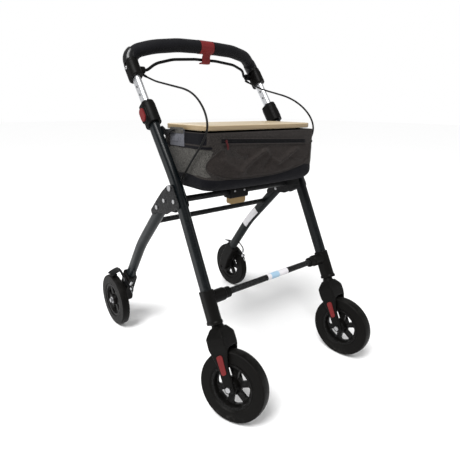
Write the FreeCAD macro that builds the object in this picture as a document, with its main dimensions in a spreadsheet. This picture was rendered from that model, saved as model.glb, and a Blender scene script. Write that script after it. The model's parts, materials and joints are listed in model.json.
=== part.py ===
import FreeCAD, Part
import math
import os
import Sketcher
from FreeCAD import Placement, Rotation, Vector

# Folding rollator walker, millimetres. +Z is up, the walker travels towards -Y,
# its user stands at +Y, and "left" is the user's left, at +X.
# "back" below is a distance behind the front axle and "up" a height above the floor.

sizes = {
    "wheel_radius": 90, "wheel_base": 603, "front_wheel_x": 218.4, "rear_wheel_x": 263.4,
    "front_tyre_width": 33, "rear_tyre_width": 25, "rim_radius": 57, "hub_radius": 17,
    "spoke_count": 6, "axle_diameter": 8, "bearing_diameter": 22, "bearing_width": 7,
    "tube_x": 223.5, "tube_width": 22, "tube_depth": 36, "tube_wall": 2, "tube_bend_radius": 400,
    "lower_lean": 26.565, "upper_lean": 35.94, "bend_height": 562,
    "inner_tube_width": 16, "inner_tube_depth": 29, "inner_tube_wall": 1.6, "pin_hole": 7, "pin_pitch": 25,
    "crossbar_diameter": 17, "rear_crossbar_diameter": 16, "leg_x": 224, "leg_width": 25.6, "leg_depth": 34.5,
    "gusset_thickness": 2.3,
    "handlebar_diameter": 22, "grip_diameter": 36, "brake_bar_diameter": 8, "cable_diameter": 5,
    "tray_thickness": 13, "tray_half_width": 190, "basket_half_width": 197, "running_gap": 0.1,
    "near_swivel": 23.2, "far_swivel": 5.5,
}

doc = FreeCAD.newDocument("rollator")
sheet = doc.addObject("Spreadsheet::Sheet", "Sheet")
for row, (alias, number) in enumerate(sizes.items(), start=1):
    sheet.set(f"A{row}", alias)
    sheet.set(f"B{row}", str(number))
    sheet.setAlias(f"B{row}", alias)
doc.recompute()


def size(alias):
    return float(sheet.get(alias))


sides = (("left", 1), ("right", -1))
seat_gap = 0.15          # slack between a tube and the socket that it is fixed in
pieces = []


def at(x, back, up):
    return Vector(x, back - size("wheel_base") / 2, up)


def lean(angle):
    return Rotation(Vector(1, 0, 0), -angle)


across = Rotation(Vector(0, 1, 0), 90)           # turns a local Z axis onto X
lower_turn = lean(size("lower_lean"))
upper_turn = lean(size("upper_lean"))
lower_axis = lower_turn.multVec(Vector(0, 0, 1))
upper_axis = upper_turn.multVec(Vector(0, 0, 1))
bend_back = (size("bend_height") - size("wheel_radius")) * math.tan(math.radians(size("lower_lean")))
bend_along = (size("bend_height") - size("wheel_radius")) / lower_axis.z


def on_lower(x, along):
    return at(x, 0, size("wheel_radius")) + lower_axis * along


def on_upper(x, along):
    return at(x, bend_back, size("bend_height")) + upper_axis * along


# ---- small helpers for sketches, bodies, primitives and routed rods ----

def keep(feature, label):
    feature.Label = label
    pieces.append(feature)
    return feature


def bind(feature, **expressions):
    for prop, expression in expressions.items():
        if isinstance(expression, str):
            feature.setExpression(prop, expression)
        else:
            setattr(feature, prop, expression)
    return feature


def body(label, place=None):
    made = doc.addObject("PartDesign::Body", label)
    if place:
        made.Placement = place
    return keep(made, label)


def sketch(made, name, plane, offset=0.0, *loops):
    drawn = made.newObject("Sketcher::SketchObject", name)
    origin = {feature.Role: feature for feature in made.Origin.OriginFeatures}
    drawn.AttachmentSupport = [(origin[plane], "")]
    drawn.MapMode = "FlatFace"
    drawn.AttachmentOffset = Placement(Vector(0, 0, offset), Rotation())
    for loop in loops:
        loop(drawn)
    return drawn


def slot(width, depth, extra=0.0):
    """Stadium outline: width across X, depth along Y, bound to the sheet, plus extra all round."""
    def draw(drawn):
        radius = (size(width) + extra) / 2
        reach = (size(depth) - size(width)) / 2
        top = drawn.addGeometry(
            Part.ArcOfCircle(Part.Circle(Vector(0, reach, 0), Vector(0, 0, 1), radius), 0, math.pi), False)
        one = drawn.addGeometry(
            Part.LineSegment(Vector(-radius, reach, 0), Vector(-radius, -reach, 0)), False)
        low = drawn.addGeometry(
            Part.ArcOfCircle(Part.Circle(Vector(0, -reach, 0), Vector(0, 0, 1), radius), math.pi, 2 * math.pi),
            False)
        two = drawn.addGeometry(Part.LineSegment(Vector(radius, -reach, 0), Vector(radius, reach, 0)), False)
        rule = Sketcher.Constraint
        drawn.addConstraint([
            rule("Tangent", top, 2, one, 1), rule("Tangent", one, 2, low, 1),
            rule("Tangent", low, 2, two, 1), rule("Tangent", two, 2, top, 1),
            rule("Symmetric", top, 3, low, 3, -1, 1), rule("PointOnObject", top, 3, -2)])
        round_end = drawn.addConstraint(rule("Radius", top, radius))
        drawn.setExpression(f"Constraints[{round_end}]", f"(Sheet.{width} + {extra}) / 2")
        straight = drawn.addConstraint(rule("DistanceY", low, 3, top, 3, 2 * reach))
        drawn.setExpression(f"Constraints[{straight}]", f"Sheet.{depth} - Sheet.{width}")
    return draw


def circle(radius, x=0.0, y=0.0):
    def draw(drawn):
        drawn.addGeometry(Part.Circle(Vector(x, y, 0), Vector(0, 0, 1), radius), False)
    return draw


def outline(corners):
    """Closed outline of straight sides through (x, y, radius) corners, each rounded by its own radius."""
    def draw(drawn):
        ends = []
        for number, (x, y, radius) in enumerate(corners):
            here = Vector(x, y, 0)
            before = Vector(*corners[number - 1][:2], 0) - here
            after = Vector(*corners[(number + 1) % len(corners)][:2], 0) - here
            before.normalize()
            after.normalize()
            half = before.getAngle(after) / 2
            if radius:
                middle = (before + after).normalize()
                apex = here + middle * (radius / math.sin(half) - radius)
                tangent = radius / math.tan(half)
                ends.append((here + before * tangent, apex, here + after * tangent))
            else:
                ends.append((here, None, here))
        for number, (first, apex, last) in enumerate(ends):
            if apex:
                drawn.addGeometry(Part.Arc(first, apex, last), False)
            drawn.addGeometry(Part.LineSegment(last, ends[(number + 1) % len(ends)][0]), False)
    return draw


def mirrored(half):
    """Outline corners for the +X half, given from the bottom up, with their mirror images."""
    return half + [(-x, y, radius) for x, y, radius in reversed(half)]


def pad(made, name, plane, start, height, *loops):
    grown = made.newObject("PartDesign::Pad", name)
    grown.Profile = sketch(made, name + "_sketch", plane, start, *loops)
    bind(grown, Length=height)
    return grown


def both_ways(made, kind, name, plane, width, *loops):
    """Pad or Pocket that runs half its width to each side of an origin plane."""
    cut = made.newObject("PartDesign::" + kind, name)
    cut.Profile = sketch(made, name + "_sketch", plane, 0, *loops)
    cut.Midplane = True
    bind(cut, Length=width)
    return cut


def primitive(kind, name, place=None, **props):
    made = bind(doc.addObject("Part::" + kind, name), **props)
    if place:
        made.Placement = place
    return made


def joined(label, *parts):
    made = doc.addObject("Part::MultiFuse", label)
    made.Shapes = list(parts)
    return keep(made, label)


def group(label, parts):
    made = doc.addObject("Part::Compound", label)
    made.Links = list(parts)
    return keep(made, label)


def minus(label, base, tool):
    made = doc.addObject("Part::Cut", label)
    made.Base = base
    made.Tool = tool
    return made


def route(points, radii=None):
    """Straight runs through the points, joined by tangent arcs. Without radii each arc is as large
    as its two runs allow."""
    edges, last, used = [], points[0], []
    for number in range(1, len(points) - 1):
        corner = points[number]
        before, after = points[number - 1] - corner, points[number + 1] - corner
        shorter = min(before.Length, after.Length)
        before.normalize()
        after.normalize()
        half_turn = (math.pi - before.getAngle(after)) / 2
        radius = radii[number - 1] if radii else 0.45 * shorter / math.tan(half_turn)
        tangent = radius * math.tan(half_turn)
        first, end = corner + before * tangent, corner + after * tangent
        middle = (before + after).normalize()
        apex = corner + middle * (radius / math.cos(half_turn) - radius)
        if (first - last).Length > 1e-6:
            edges.append(Part.LineSegment(last, first).toShape())
        edges.append(Part.Arc(first, apex, end).toShape())
        last = end
        used.append(radius)
    edges.append(Part.LineSegment(last, points[-1]).toShape())
    return Part.Wire(edges), used


def rod(name, points, radius, radii=None):
    """Round rod along a route, as a shape, with its volume compared with section times length."""
    path, used = route(points, radii)
    ring = Part.Wire(Part.Circle(points[0], points[1] - points[0], radius).toShape())
    solid = path.makePipeShell([ring], True, False)
    if solid.Volume < 0:
        solid.reverse()
    expected = math.pi * radius ** 2 * path.Length
    if abs(solid.Volume / expected - 1) > 0.01:
        raise RuntimeError(f"{name}: volume {solid.Volume:.0f} should be {expected:.0f}")
    print(name, "length", round(path.Length), "smallest radius", round(min(used), 1))
    return solid


def shaped(label, shape):
    made = doc.addObject("Part::Feature", label)
    made.Shape = shape
    made.Placement = Placement()
    return keep(made, label)


def row_place(point, turn=None):
    return Placement(point, turn or Rotation())


# ---- wheels: rim with six spokes, thick tyre, two bearings and a bolted axle ----

def rim(label, place, ring_half, hub_half):
    made = body(label, place)
    outer, hub = size("rim_radius"), size("hub_radius")
    seat = size("bearing_diameter") / 2 + 0.02
    web, bore, step = 4.5, 6, hub_half - size("bearing_width")
    half = [(step, bore), (step, seat), (hub_half, seat), (hub_half, hub), (web, hub + 3),
            (web, outer - 10), (ring_half, outer - 6), (ring_half, outer)]
    profile = [(x, y, 0) for x, y in half] + [(-x, y, 0) for x, y in reversed(half)]
    turned = made.newObject("PartDesign::Revolution", label + "_turned")
    turned.Profile = sketch(made, label + "_profile", "XZ_Plane", 0, outline(profile))
    turned.ReferenceAxis = (turned.Profile[0], ["H_Axis"])
    turned.Angle = 360
    doc.recompute()
    whole = turned.Shape.Volume
    window = mirrored([(5, hub + 5.5, 3), (17.5, outer - 11.5, 5)])
    cut = both_ways(made, "Pocket", label + "_window", "YZ_Plane", 4 * hub_half, outline(window))
    around = made.newObject("PartDesign::PolarPattern", label + "_windows")
    around.Originals = [cut]
    around.Axis = (cut.Profile[0], ["N_Axis"])
    around.Angle = 360
    bind(around, Occurrences="Sheet.spoke_count")
    made.Tip = around
    doc.recompute()
    if made.Shape.Volume > 0.97 * whole:
        raise RuntimeError(label + ": the spoke windows did not cut")


def tyre(label, place, half_width):
    """Solid tyre: crowned tread, rounded shoulders, seated on the rim."""
    radius, inner = size("wheel_radius"), size("rim_radius") + 0.05
    crown = 60
    flat = half_width - 4
    edge = radius - crown + math.sqrt(crown ** 2 - flat ** 2)
    made = body(label, place)
    side = [(-half_width + 3.5, inner), (half_width - 3.5, inner),
            (half_width, inner + 5), (half_width, edge - 5)]

    def draw(drawn):
        for first, last in zip(side, side[1:]):
            drawn.addGeometry(Part.LineSegment(Vector(*first, 0), Vector(*last, 0)), False)
        shoulder = Vector(half_width - 1, edge - 1.4, 0)
        drawn.addGeometry(Part.Arc(Vector(*side[3], 0), shoulder, Vector(flat, edge, 0)), False)
        tread = Part.Arc(Vector(flat, edge, 0), Vector(0, radius, 0), Vector(-flat, edge, 0))
        drawn.addGeometry(tread, False)
        far = Vector(-half_width, edge - 5, 0)
        drawn.addGeometry(Part.Arc(Vector(-flat, edge, 0), Vector(-shoulder.x, shoulder.y, 0), far), False)
        drawn.addGeometry(Part.LineSegment(far, Vector(-half_width, inner + 5, 0)), False)
        drawn.addGeometry(Part.LineSegment(Vector(-half_width, inner + 5, 0), Vector(*side[0], 0)), False)

    turned = made.newObject("PartDesign::Revolution", label + "_turned")
    turned.Profile = sketch(made, label + "_profile", "XZ_Plane", 0, draw)
    turned.ReferenceAxis = (turned.Profile[0], ["H_Axis"])
    turned.Angle = 360


def bearings(label, place, hub_half):
    rings = []
    for number, start in enumerate((-hub_half, hub_half - size("bearing_width"))):
        shift = Placement(place.multVec(Vector(start, 0, 0)), place.Rotation * across)
        race = primitive("Cylinder", f"{label}_race_{number}", shift,
                         Radius="Sheet.bearing_diameter / 2", Height="Sheet.bearing_width")
        bore = primitive("Cylinder", f"{label}_bore_{number}", shift,
                         Radius="Sheet.axle_diameter / 2 + Sheet.running_gap", Height="Sheet.bearing_width")
        rings.append(minus(f"{label}_ring_{number}", race, bore))
    group(label, rings)


def axle(name, place, start, end, heads=(True, True)):
    """Axle bolt along local X with a hexagon head and a hexagon nut."""
    def along(x):
        return Placement(place.multVec(Vector(x, 0, 0)), place.Rotation * across)
    parts = [primitive("Cylinder", name + "_shank", along(start),
                       Radius="Sheet.axle_diameter / 2", Height=end - start)]
    head = 5
    for has_head, x in zip(heads, (start - head + 1, end - 1)):
        if has_head:
            parts.append(primitive("Prism", f"{name}_hex_{len(parts)}", along(x),
                                   Polygon=6, Circumradius=7.2, Height=head))
    return parts


front_hub_half, rear_hub_half = 19.5, 14


def caster(side, sign, swivel):
    """Front caster: its stem leans with the front tube, and its axis passes through the wheel centre."""
    turn = Rotation(lower_axis, swivel) * lower_turn
    place = Placement(at(sign * size("front_wheel_x"), 0, size("wheel_radius")), turn)
    half_tyre = size("front_tyre_width") / 2
    rim(f"front_rim_{side}", place, half_tyre - 2.5, front_hub_half)
    tyre(f"front_tyre_{side}", place, half_tyre)
    bearings(f"front_bearings_{side}", place, front_hub_half)

    arm_in, arm_out, crown_bottom, neck = 20.5, 27, 96, 146
    fork = body(f"caster_fork_{side}", place)
    front_view = mirrored([(arm_out, -13, 6), (arm_out, 88, 12), (30, 105, 10), (30, 127, 13), (17, neck, 3)])
    both_ways(fork, "Pad", f"fork_blank_{side}", "XZ_Plane", 60, outline(front_view))
    gap = mirrored([(arm_in, -40, 0), (arm_in, crown_bottom, 9)])
    both_ways(fork, "Pocket", f"fork_gap_{side}", "XZ_Plane", 80, outline(gap))
    side_view = mirrored([(13, -14, 10), (15, 55, 30), (26, 94, 8), (25, 126, 12), (15, neck, 3)])
    frame = [(-80, -60, 0), (80, -60, 0), (80, 190, 0), (-80, 190, 0)]
    both_ways(fork, "Pocket", f"fork_sides_{side}", "YZ_Plane", 90, outline(frame), outline(side_view))
    hole = size("axle_diameter") / 2 + 0.05
    both_ways(fork, "Pocket", f"fork_axle_hole_{side}", "YZ_Plane", 90, circle(hole))
    pad(fork, f"fork_neck_{side}", "XY_Plane", neck - 8, 16.5, circle(15))
    pad(fork, f"fork_stem_{side}", "XY_Plane", neck, 34, circle(6))

    strips = body(f"fork_strips_{side}", place)
    strip = outline([(-6.5, 37, 5), (7.5, 33, 5), (9.5, 81, 6), (-8.5, 85, 6)])
    for number, start in enumerate((arm_out + 0.05, -arm_out - 1.55)):
        pad(strips, f"fork_strip_{side}_{number}", "YZ_Plane", start, 1.5, strip)
    strips.AllowCompound = True
    joined(f"caster_axle_{side}", *axle(f"caster_bolt_{side}", place, -arm_out - 1, arm_out + 1))


def rear_wheel(side, sign):
    place = row_place(at(sign * size("rear_wheel_x"), size("wheel_base"), size("wheel_radius")))
    half_tyre = size("rear_tyre_width") / 2
    rim(f"rear_rim_{side}", place, half_tyre - 2, rear_hub_half)
    tyre(f"rear_tyre_{side}", place, half_tyre)
    bearings(f"rear_bearings_{side}", place, rear_hub_half)


# ---- front frame: leaning tubes, castings, crossbar and telescope collars ----

casting_start, casting_height, tube_seat = 155.4, 85, 30
collar_start, collar_height, tube_end = 163, 62, 217


def front_tube(side, sign):
    """Oval tube with a shallow bend at seat height, bored for the fold pivot."""
    start = casting_start + tube_seat + 1.5
    made = body(f"front_tube_{side}", row_place(on_lower(sign * size("tube_x"), start), lower_turn))
    section = sketch(made, f"tube_section_{side}", "XY_Plane", 0,
                     slot("tube_width", "tube_depth"),
                     slot("tube_width", "tube_depth", -2 * size("tube_wall")))
    turn = math.radians(size("upper_lean") - size("lower_lean"))
    radius = size("tube_bend_radius")
    tangent = radius * math.tan(turn / 2)
    below, above = bend_along - start - tangent, tube_end - tangent
    centre = Vector(radius, below, 0)
    end = centre + Vector(-radius * math.cos(turn), radius * math.sin(turn), 0)

    def spine(drawn):
        drawn.addGeometry(Part.LineSegment(Vector(0, 0, 0), Vector(0, below, 0)), False)
        bend = Part.Circle(centre, Vector(0, 0, 1), radius)
        drawn.addGeometry(Part.ArcOfCircle(bend, math.pi - turn, math.pi), False)
        last = end + Vector(math.sin(turn), math.cos(turn), 0) * above
        drawn.addGeometry(Part.LineSegment(end, last), False)

    pipe = made.newObject("PartDesign::AdditivePipe", f"tube_sweep_{side}")
    pipe.Profile = section
    pipe.Spine = sketch(made, f"tube_spine_{side}", "YZ_Plane", 0, spine)
    pivot = made.Placement.inverse().multVec(fold_pivot)
    both_ways(made, "Pocket", f"tube_pivot_hole_{side}", "YZ_Plane", 60,
              circle(pivot_radius + size("running_gap"), pivot.y, pivot.z))


def front_casting(side, sign):
    """Moulded lower end: the tube's seat above, the caster's bore below, a socket for the crossbar."""
    place = row_place(on_lower(sign * size("tube_x"), casting_start), lower_turn)
    made = body(f"front_casting_{side}", place)
    stem = circle(6.1, sign * (size("front_wheel_x") - size("tube_x")))
    pad(made, f"casting_lip_{side}", "XY_Plane", 0, 7, slot("tube_width", "tube_depth", 12), stem)
    pad(made, f"casting_floor_{side}", "XY_Plane", 7, tube_seat - 7,
        slot("tube_width", "tube_depth", 8), stem)
    pad(made, f"casting_sleeve_{side}", "XY_Plane", tube_seat, casting_height - tube_seat,
        slot("tube_width", "tube_depth", 8), slot("tube_width", "tube_depth", 2 * seat_gap))
    bar = place.inverse().multVec(crossbar_axis)
    bore = size("crossbar_diameter") / 2 + seat_gap
    for name, start, end, radius in (("root", 12.5, 48, 17), ("nose", 47, 66.5, 14.5)):
        low = start if sign < 0 else -end
        pad(made, f"casting_socket_{name}_{side}", "YZ_Plane", low, end - start,
            circle(radius, bar.y, bar.z), circle(bore, bar.y, bar.z))


def collar(side, sign):
    """Height collar: grips the outer tube's top, guides the inner tube, and holds the push button."""
    place = row_place(on_upper(sign * size("tube_x"), collar_start), upper_turn)
    made = body(f"height_collar_{side}", place)
    sleeve = tube_end - collar_start + 0.5
    pad(made, f"collar_sleeve_{side}", "XY_Plane", 0, sleeve,
        slot("tube_width", "tube_depth", 15), slot("tube_width", "tube_depth", 2 * seat_gap))
    pad(made, f"collar_top_{side}", "XY_Plane", sleeve, collar_height - sleeve,
        slot("tube_width", "tube_depth", 13), slot("inner_tube_width", "inner_tube_depth", 0.8))
    boss = mirrored([(15, 7, 12), (15, 52, 12)])
    opening = mirrored([(12.4, 11.5, 11), (12.4, 48.5, 11)])
    face = size("tube_width") / 2 + 7.5
    low = face - 4 if sign > 0 else -face - 3
    pad(made, f"collar_boss_{side}", "YZ_Plane", low, 7, outline(boss), outline(opening))
    recess = made.newObject("PartDesign::Pocket", f"collar_recess_{side}")
    recess.Profile = sketch(made, f"collar_recess_sketch_{side}", "YZ_Plane", sign * (face - 5.5),
                            outline(opening))
    recess.Length = 12
    recess.Reversed = sign > 0

    button = body(f"height_button_{side}", place)
    cap = mirrored([(11.9, 12, 10.5), (11.9, 48, 10.5)])
    low = face - 1.2 if sign > 0 else -face - 6.5
    pad(button, f"button_cap_{side}", "YZ_Plane", low, 7.7, outline(cap))


fold_pivot = at(0, 238, 544)
pivot_radius = 5
crossbar_axis = at(0, 98.5, 286)
upper_bar_axis = at(0, 262, 503)
rear_bar_axis = at(0, 367, 423)


def crossbars():
    seat = size("tube_x") - size("tube_width") / 2 - 4.3
    for label, axis, diameter, reach in (
            ("front_crossbar", crossbar_axis, "crossbar_diameter", seat),
            ("upper_bar", upper_bar_axis, "crossbar_diameter", gusset_inner - 0.2),
            ("rear_crossbar", rear_bar_axis, "rear_crossbar_diameter",
             size("leg_x") - size("leg_width") / 2 - 0.2)):
        outer = primitive("Cylinder", label + "_outer", Placement(axis - Vector(reach, 0, 0), across),
                          Radius=f"Sheet.{diameter} / 2", Height=2 * reach)
        inner = primitive("Cylinder", label + "_inner", Placement(axis - Vector(reach, 0, 0), across),
                          Radius=f"Sheet.{diameter} / 2 - 1.5", Height=2 * reach)
        keep(minus(label, outer, inner), label)


# ---- seat board and shopping basket ----

tray_front, tray_rear, tray_top = 148, 337, 698


def tray():
    made = body("tray", row_place(at(0, 0, tray_top - size("tray_thickness"))))
    half = size("tray_half_width")
    front, rear = tray_front, tray_rear
    plate = outline([(-half, front, 28), (half, front, 28), (half, rear, 22), (-half, rear, 22)])
    board = pad(made, "tray_board", "XY_Plane", 0, "Sheet.tray_thickness", plate)
    doc.recompute()
    soft = made.newObject("PartDesign::Fillet", "tray_edges")
    long_edges = [f"Edge{n}" for n, edge in enumerate(board.Shape.Edges, start=1)
                  if abs(edge.BoundBox.ZLength) < 0.01]
    soft.Base = (board, long_edges)
    soft.Radius = 2.5


def tray_arms():
    """Pair of steel brackets: a flange under the board and a tab riveted to the front tube."""
    parts = []
    inner_face = size("tube_x") - size("tube_width") / 2
    underside = tray_top - size("tray_thickness")
    for side, sign in sides:
        tab = body(f"tray_tab_{side}", row_place(at(sign * (inner_face - 2), 0, 0)))
        pieces.remove(tab)
        web = outline([(262, underside - 3, 1), (292, underside - 17, 5), (314, 674, 5), (325, 683, 4),
                       (313, 693, 4), (296, underside - 0.2, 4)])
        both_ways(tab, "Pad", f"tray_tab_web_{side}", "YZ_Plane", 3, web)
        flange_length = 26
        low = 1.5 if sign < 0 else -1.5 - flange_length
        pad(tab, f"tray_tab_flange_{side}", "YZ_Plane", low, flange_length + 0.5,
            outline([(262, underside - 3, 0), (300, underside - 3, 0), (300, underside - 0.2, 0),
                     (262, underside - 0.2, 0)]))
        parts.append(tab)
    group("tray_arms", parts)


def basket():
    """Fabric basket hung under the seat board: a tapered open shell with rounded corners."""
    low, high, wall = 545, 681.6, 5
    half, front, rear = size("basket_half_width"), 135, 346
    flare = 3.0

    def tub(name, start, top, inset):
        made = body(name, row_place(at(0, (front + rear) / 2, start)))
        pieces.remove(made)
        shrink = (high - start) * math.tan(math.radians(flare))
        width, length = half - inset - shrink, (rear - front) / 2 - inset - shrink
        grown = pad(made, name + "_pad", "XY_Plane", 0, top - start,
                    outline([(-width, -length, 24), (width, -length, 24), (width, length, 24),
                             (-width, length, 24)]))
        grown.TaperAngle = flare
        return made

    outer = tub("basket_outer", low, high, 0)
    inner = tub("basket_inner", low + wall, high + 4, wall)
    keep(minus("basket", outer, inner), "basket")


# ---- rear frame: gussets on the fold pivot, curved legs, feet and latch ----

gusset_inner = 208.5
gusset_outer = 237.2


def gusset(side, sign):
    """Two riveted cheek plates that carry the leg and the upper bar and turn on the fold pivot."""
    shape = [(225, 553, 6), (251, 548, 8), (279, 528, 14), (309, 501, 14), (347, 464, 8), (338, 452, 8),
             (310, 466, 12), (259, 470, 20), (234, 483, 10), (194, 500, 7), (199, 512, 6)]
    plates = []
    for name, x in (("inner", gusset_inner), ("outer", gusset_outer)):
        plate = body(f"gusset_{name}_{side}", row_place(at(sign * (x + size("gusset_thickness") / 2), 0, 0)))
        pieces.remove(plate)
        both_ways(plate, "Pad", f"gusset_{name}_pad_{side}", "YZ_Plane", "Sheet.gusset_thickness",
                  outline(shape), circle(pivot_radius + 0.02, 238, 544))
        plates.append(plate)
    group(f"gusset_{side}", plates)


def rivet_row():
    """Fold pivots, leg rivets, lock studs and upper bar screws, all fixed to the cheek plates."""
    parts = []
    outer_face = gusset_outer + size("gusset_thickness")

    def stud(name, point, x_low, x_high, radius):
        parts.append(primitive("Cylinder", name, Placement(point + Vector(x_low, 0, 0), across),
                               Radius=radius, Height=x_high - x_low))

    for side, sign in sides:
        for low, high, radius in ((206, gusset_inner - 0.05, 8), (gusset_inner - 0.05, outer_face + 0.05, pivot_radius),
                                  (outer_face + 0.05, outer_face + 3, 8)):
            ends = sorted((sign * low, sign * high))
            stud(f"fold_pivot_{side}_{radius}_{len(parts)}", fold_pivot, ends[0], ends[1], radius)
        for name, back, up, radius in (("lock", 219, 512, 5.5), ("bar_screw", 268, 506, 5.5), ("leg", 309, 480, 6)):
            ends = sorted((sign * (outer_face + 0.05), sign * (outer_face + 2.6)))
            stud(f"{name}_stud_{side}", at(0, back, up), ends[0], ends[1], radius)
    group("gusset_rivets", parts)


leg_top = (303, 482)
leg_bend = (450, 331)
leg_end = (563, 176)


def rear_leg(side, sign):
    """Oval leg with a gentle bend, from the cheek plates down to the foot."""
    made = body(f"rear_leg_{side}", row_place(at(sign * size("leg_x"), *leg_top), Rotation(Vector(1, 0, 0), 0)))
    first = Vector(leg_bend[0] - leg_top[0], leg_bend[1] - leg_top[1], 0)
    second = Vector(leg_end[0] - leg_bend[0], leg_end[1] - leg_bend[1], 0)
    turn = first.getAngle(second)
    radius = 420
    tangent = radius * math.tan(turn / 2)
    corner = Vector(first)
    way_in, way_out = Vector(first).normalize(), Vector(second).normalize()
    begin, end = corner - way_in * tangent, corner + way_out * tangent
    bulge = (way_out - way_in).normalize()
    apex = corner + bulge * (radius / math.cos(turn / 2) - radius)

    def spine(drawn):
        drawn.addGeometry(Part.LineSegment(Vector(0, 0, 0), begin), False)
        drawn.addGeometry(Part.Arc(begin, apex, end), False)
        drawn.addGeometry(Part.LineSegment(end, first + second), False)

    path = sketch(made, f"leg_spine_{side}", "YZ_Plane", 0, spine)
    section = sketch(made, f"leg_section_{side}", "XY_Plane", 0, slot("leg_width", "leg_depth"),
                     slot("leg_width", "leg_depth", -2 * size("tube_wall")))
    tilt = math.degrees(math.atan2(way_in.x, way_in.y))
    section.AttachmentOffset = Placement(Vector(0, 0, 0), Rotation(Vector(1, 0, 0), -tilt))
    pipe = made.newObject("PartDesign::AdditivePipe", f"leg_sweep_{side}")
    pipe.Profile = section
    pipe.Spine = path


foot_axis = (603, 90)
foot_x, foot_width = 225.4, 31.2


def rear_foot(side, sign):
    """Moulded foot: a plug round the leg's end above, an eye for the rear axle below."""
    made = body(f"rear_foot_{side}", row_place(at(sign * foot_x, 0, 0)))
    shape = [(583, 84, 14), (603, 70, 17), (622, 88, 17), (606, 142, 20), (564, 211, 4), (529, 186, 4),
             (561, 135, 25)]
    block = both_ways(made, "Pad", f"foot_block_{side}", "YZ_Plane", foot_width, outline(shape),
                      circle(size("axle_diameter") / 2 + 0.05, *foot_axis))
    slope = math.degrees(math.atan2(leg_end[0] - leg_bend[0], leg_bend[1] - leg_end[1]))
    along = Vector(0, math.sin(math.radians(slope)), -math.cos(math.radians(slope)))
    pocket_start = Vector(sign * (size("leg_x") - foot_x), leg_end[0], leg_end[1]) - along * 60
    socket = made.newObject("Sketcher::SketchObject", f"foot_socket_sketch_{side}")
    origin = {feature.Role: feature for feature in made.Origin.OriginFeatures}
    socket.AttachmentSupport = [(origin["XY_Plane"], "")]
    socket.MapMode = "FlatFace"
    socket.AttachmentOffset = Placement(pocket_start, Rotation(Vector(1, 0, 0), slope))
    slot("leg_width", "leg_depth", 2 * seat_gap)(socket)
    cut = made.newObject("PartDesign::Pocket", f"foot_socket_{side}")
    cut.Profile = socket
    cut.Length = 60.2
    doc.recompute()
    print("foot socket cut", round(block.Shape.Volume - cut.Shape.Volume))
    boss = 6.5
    low = foot_width / 2 if sign > 0 else -foot_width / 2 - boss
    pad(made, f"foot_boss_{side}", "YZ_Plane", low, boss, circle(11, *foot_axis),
        circle(size("axle_diameter") / 2 + 0.05, *foot_axis))


def rear_axles():
    parts = []
    for side, sign in sides:
        place = row_place(at(0, *foot_axis))
        low, high = (215, 279.5) if sign > 0 else (-279.5, -215)
        heads = (False, True) if sign > 0 else (True, False)
        made = doc.addObject("Part::MultiFuse", f"rear_axle_{side}")
        made.Shapes = axle(f"rear_bolt_{side}", place, low, high, heads)
        parts.append(made)
    group("rear_axles", parts)


def latch():
    """Fold latch at the middle of the upper bar: a split housing and the pull lever below it."""
    made = body("latch_housing", row_place(upper_bar_axis))
    bore = size("crossbar_diameter") / 2 + seat_gap
    block = [(-17, -18, 6), (17, -18, 6), (17, 10, 10), (8, 17, 6), (-10, 17, 8), (-17, 10, 8)]
    solid = both_ways(made, "Pad", "latch_block", "YZ_Plane", 68, outline(block), circle(bore))
    slotted = made.newObject("PartDesign::Pocket", "latch_slot")
    room = outline([(-31.5, -9.2, 2), (31.5, -9.2, 2), (31.5, 9.2, 2), (-31.5, 9.2, 2)])
    slotted.Profile = sketch(made, "latch_slot_sketch", "XY_Plane", -20, room)
    slotted.Length = 10.8
    slotted.Reversed = True
    doc.recompute()
    if slotted.Shape.Volume > solid.Shape.Volume - 2000:
        raise RuntimeError("the latch slot did not cut")

    lever = body("release_lever", row_place(upper_bar_axis))
    grip = mirrored([(28.5, -36, 5), (30.5, -29, 5), (30.5, -17.4, 1)])
    both_ways(lever, "Pad", "lever_blade", "XZ_Plane", 17, outline(grip))


# ---- rear brakes and their lower cables ----

brake_pivot = (556, 178)


def rear_brake(side, sign):
    """Brake lever beside the foot: a shoe over the tyre at its rear end, the cable clamp at its front."""
    made = body(f"rear_brake_{side}", row_place(at(sign * 244.3, 0, 0)))
    shoe_gap, wheel = 4.0, size("wheel_radius")
    blade = [(499, 152, 7), (516, 154, 7), (538, 158, 6), (562, 168, 8), (580, 187, 4), (588, 190, 2),
             (588, 199, 3), (560, 194, 10), (548, 184, 8), (530, 174, 8), (500, 170, 7)]
    both_ways(made, "Pad", f"brake_blade_{side}", "YZ_Plane", 4, outline(blade), circle(4.1, *brake_pivot))
    low = -2 if sign > 0 else 2 - 34

    def shoe(drawn):
        curve = wheel + shoe_gap
        first, last = math.radians(81), math.radians(99)
        ends = [Vector(foot_axis[0] + curve * math.cos(a), foot_axis[1] + curve * math.sin(a), 0)
                for a in (first, math.pi / 2, last)]
        top = 199
        drawn.addGeometry(Part.Arc(*ends), False)
        drawn.addGeometry(Part.LineSegment(ends[2], Vector(ends[2].x, top, 0)), False)
        drawn.addGeometry(Part.LineSegment(Vector(ends[2].x, top, 0), Vector(ends[0].x, top, 0)), False)
        drawn.addGeometry(Part.LineSegment(Vector(ends[0].x, top, 0), ends[0]), False)

    pad(made, f"brake_shoe_{side}", "YZ_Plane", low, 34, shoe)


def brake_pins():
    parts = []
    for side, sign in sides:
        for low, high, radius in ((241.1, 247.2, 4), (247.3, 249.6, 7)):
            ends = sorted((sign * low, sign * high))
            parts.append(primitive("Cylinder", f"brake_pin_{side}_{radius}",
                                   Placement(at(0, *brake_pivot) + Vector(ends[0], 0, 0), across),
                                   Radius=radius, Height=ends[1] - ends[0]))
    group("brake_pins", parts)


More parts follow.
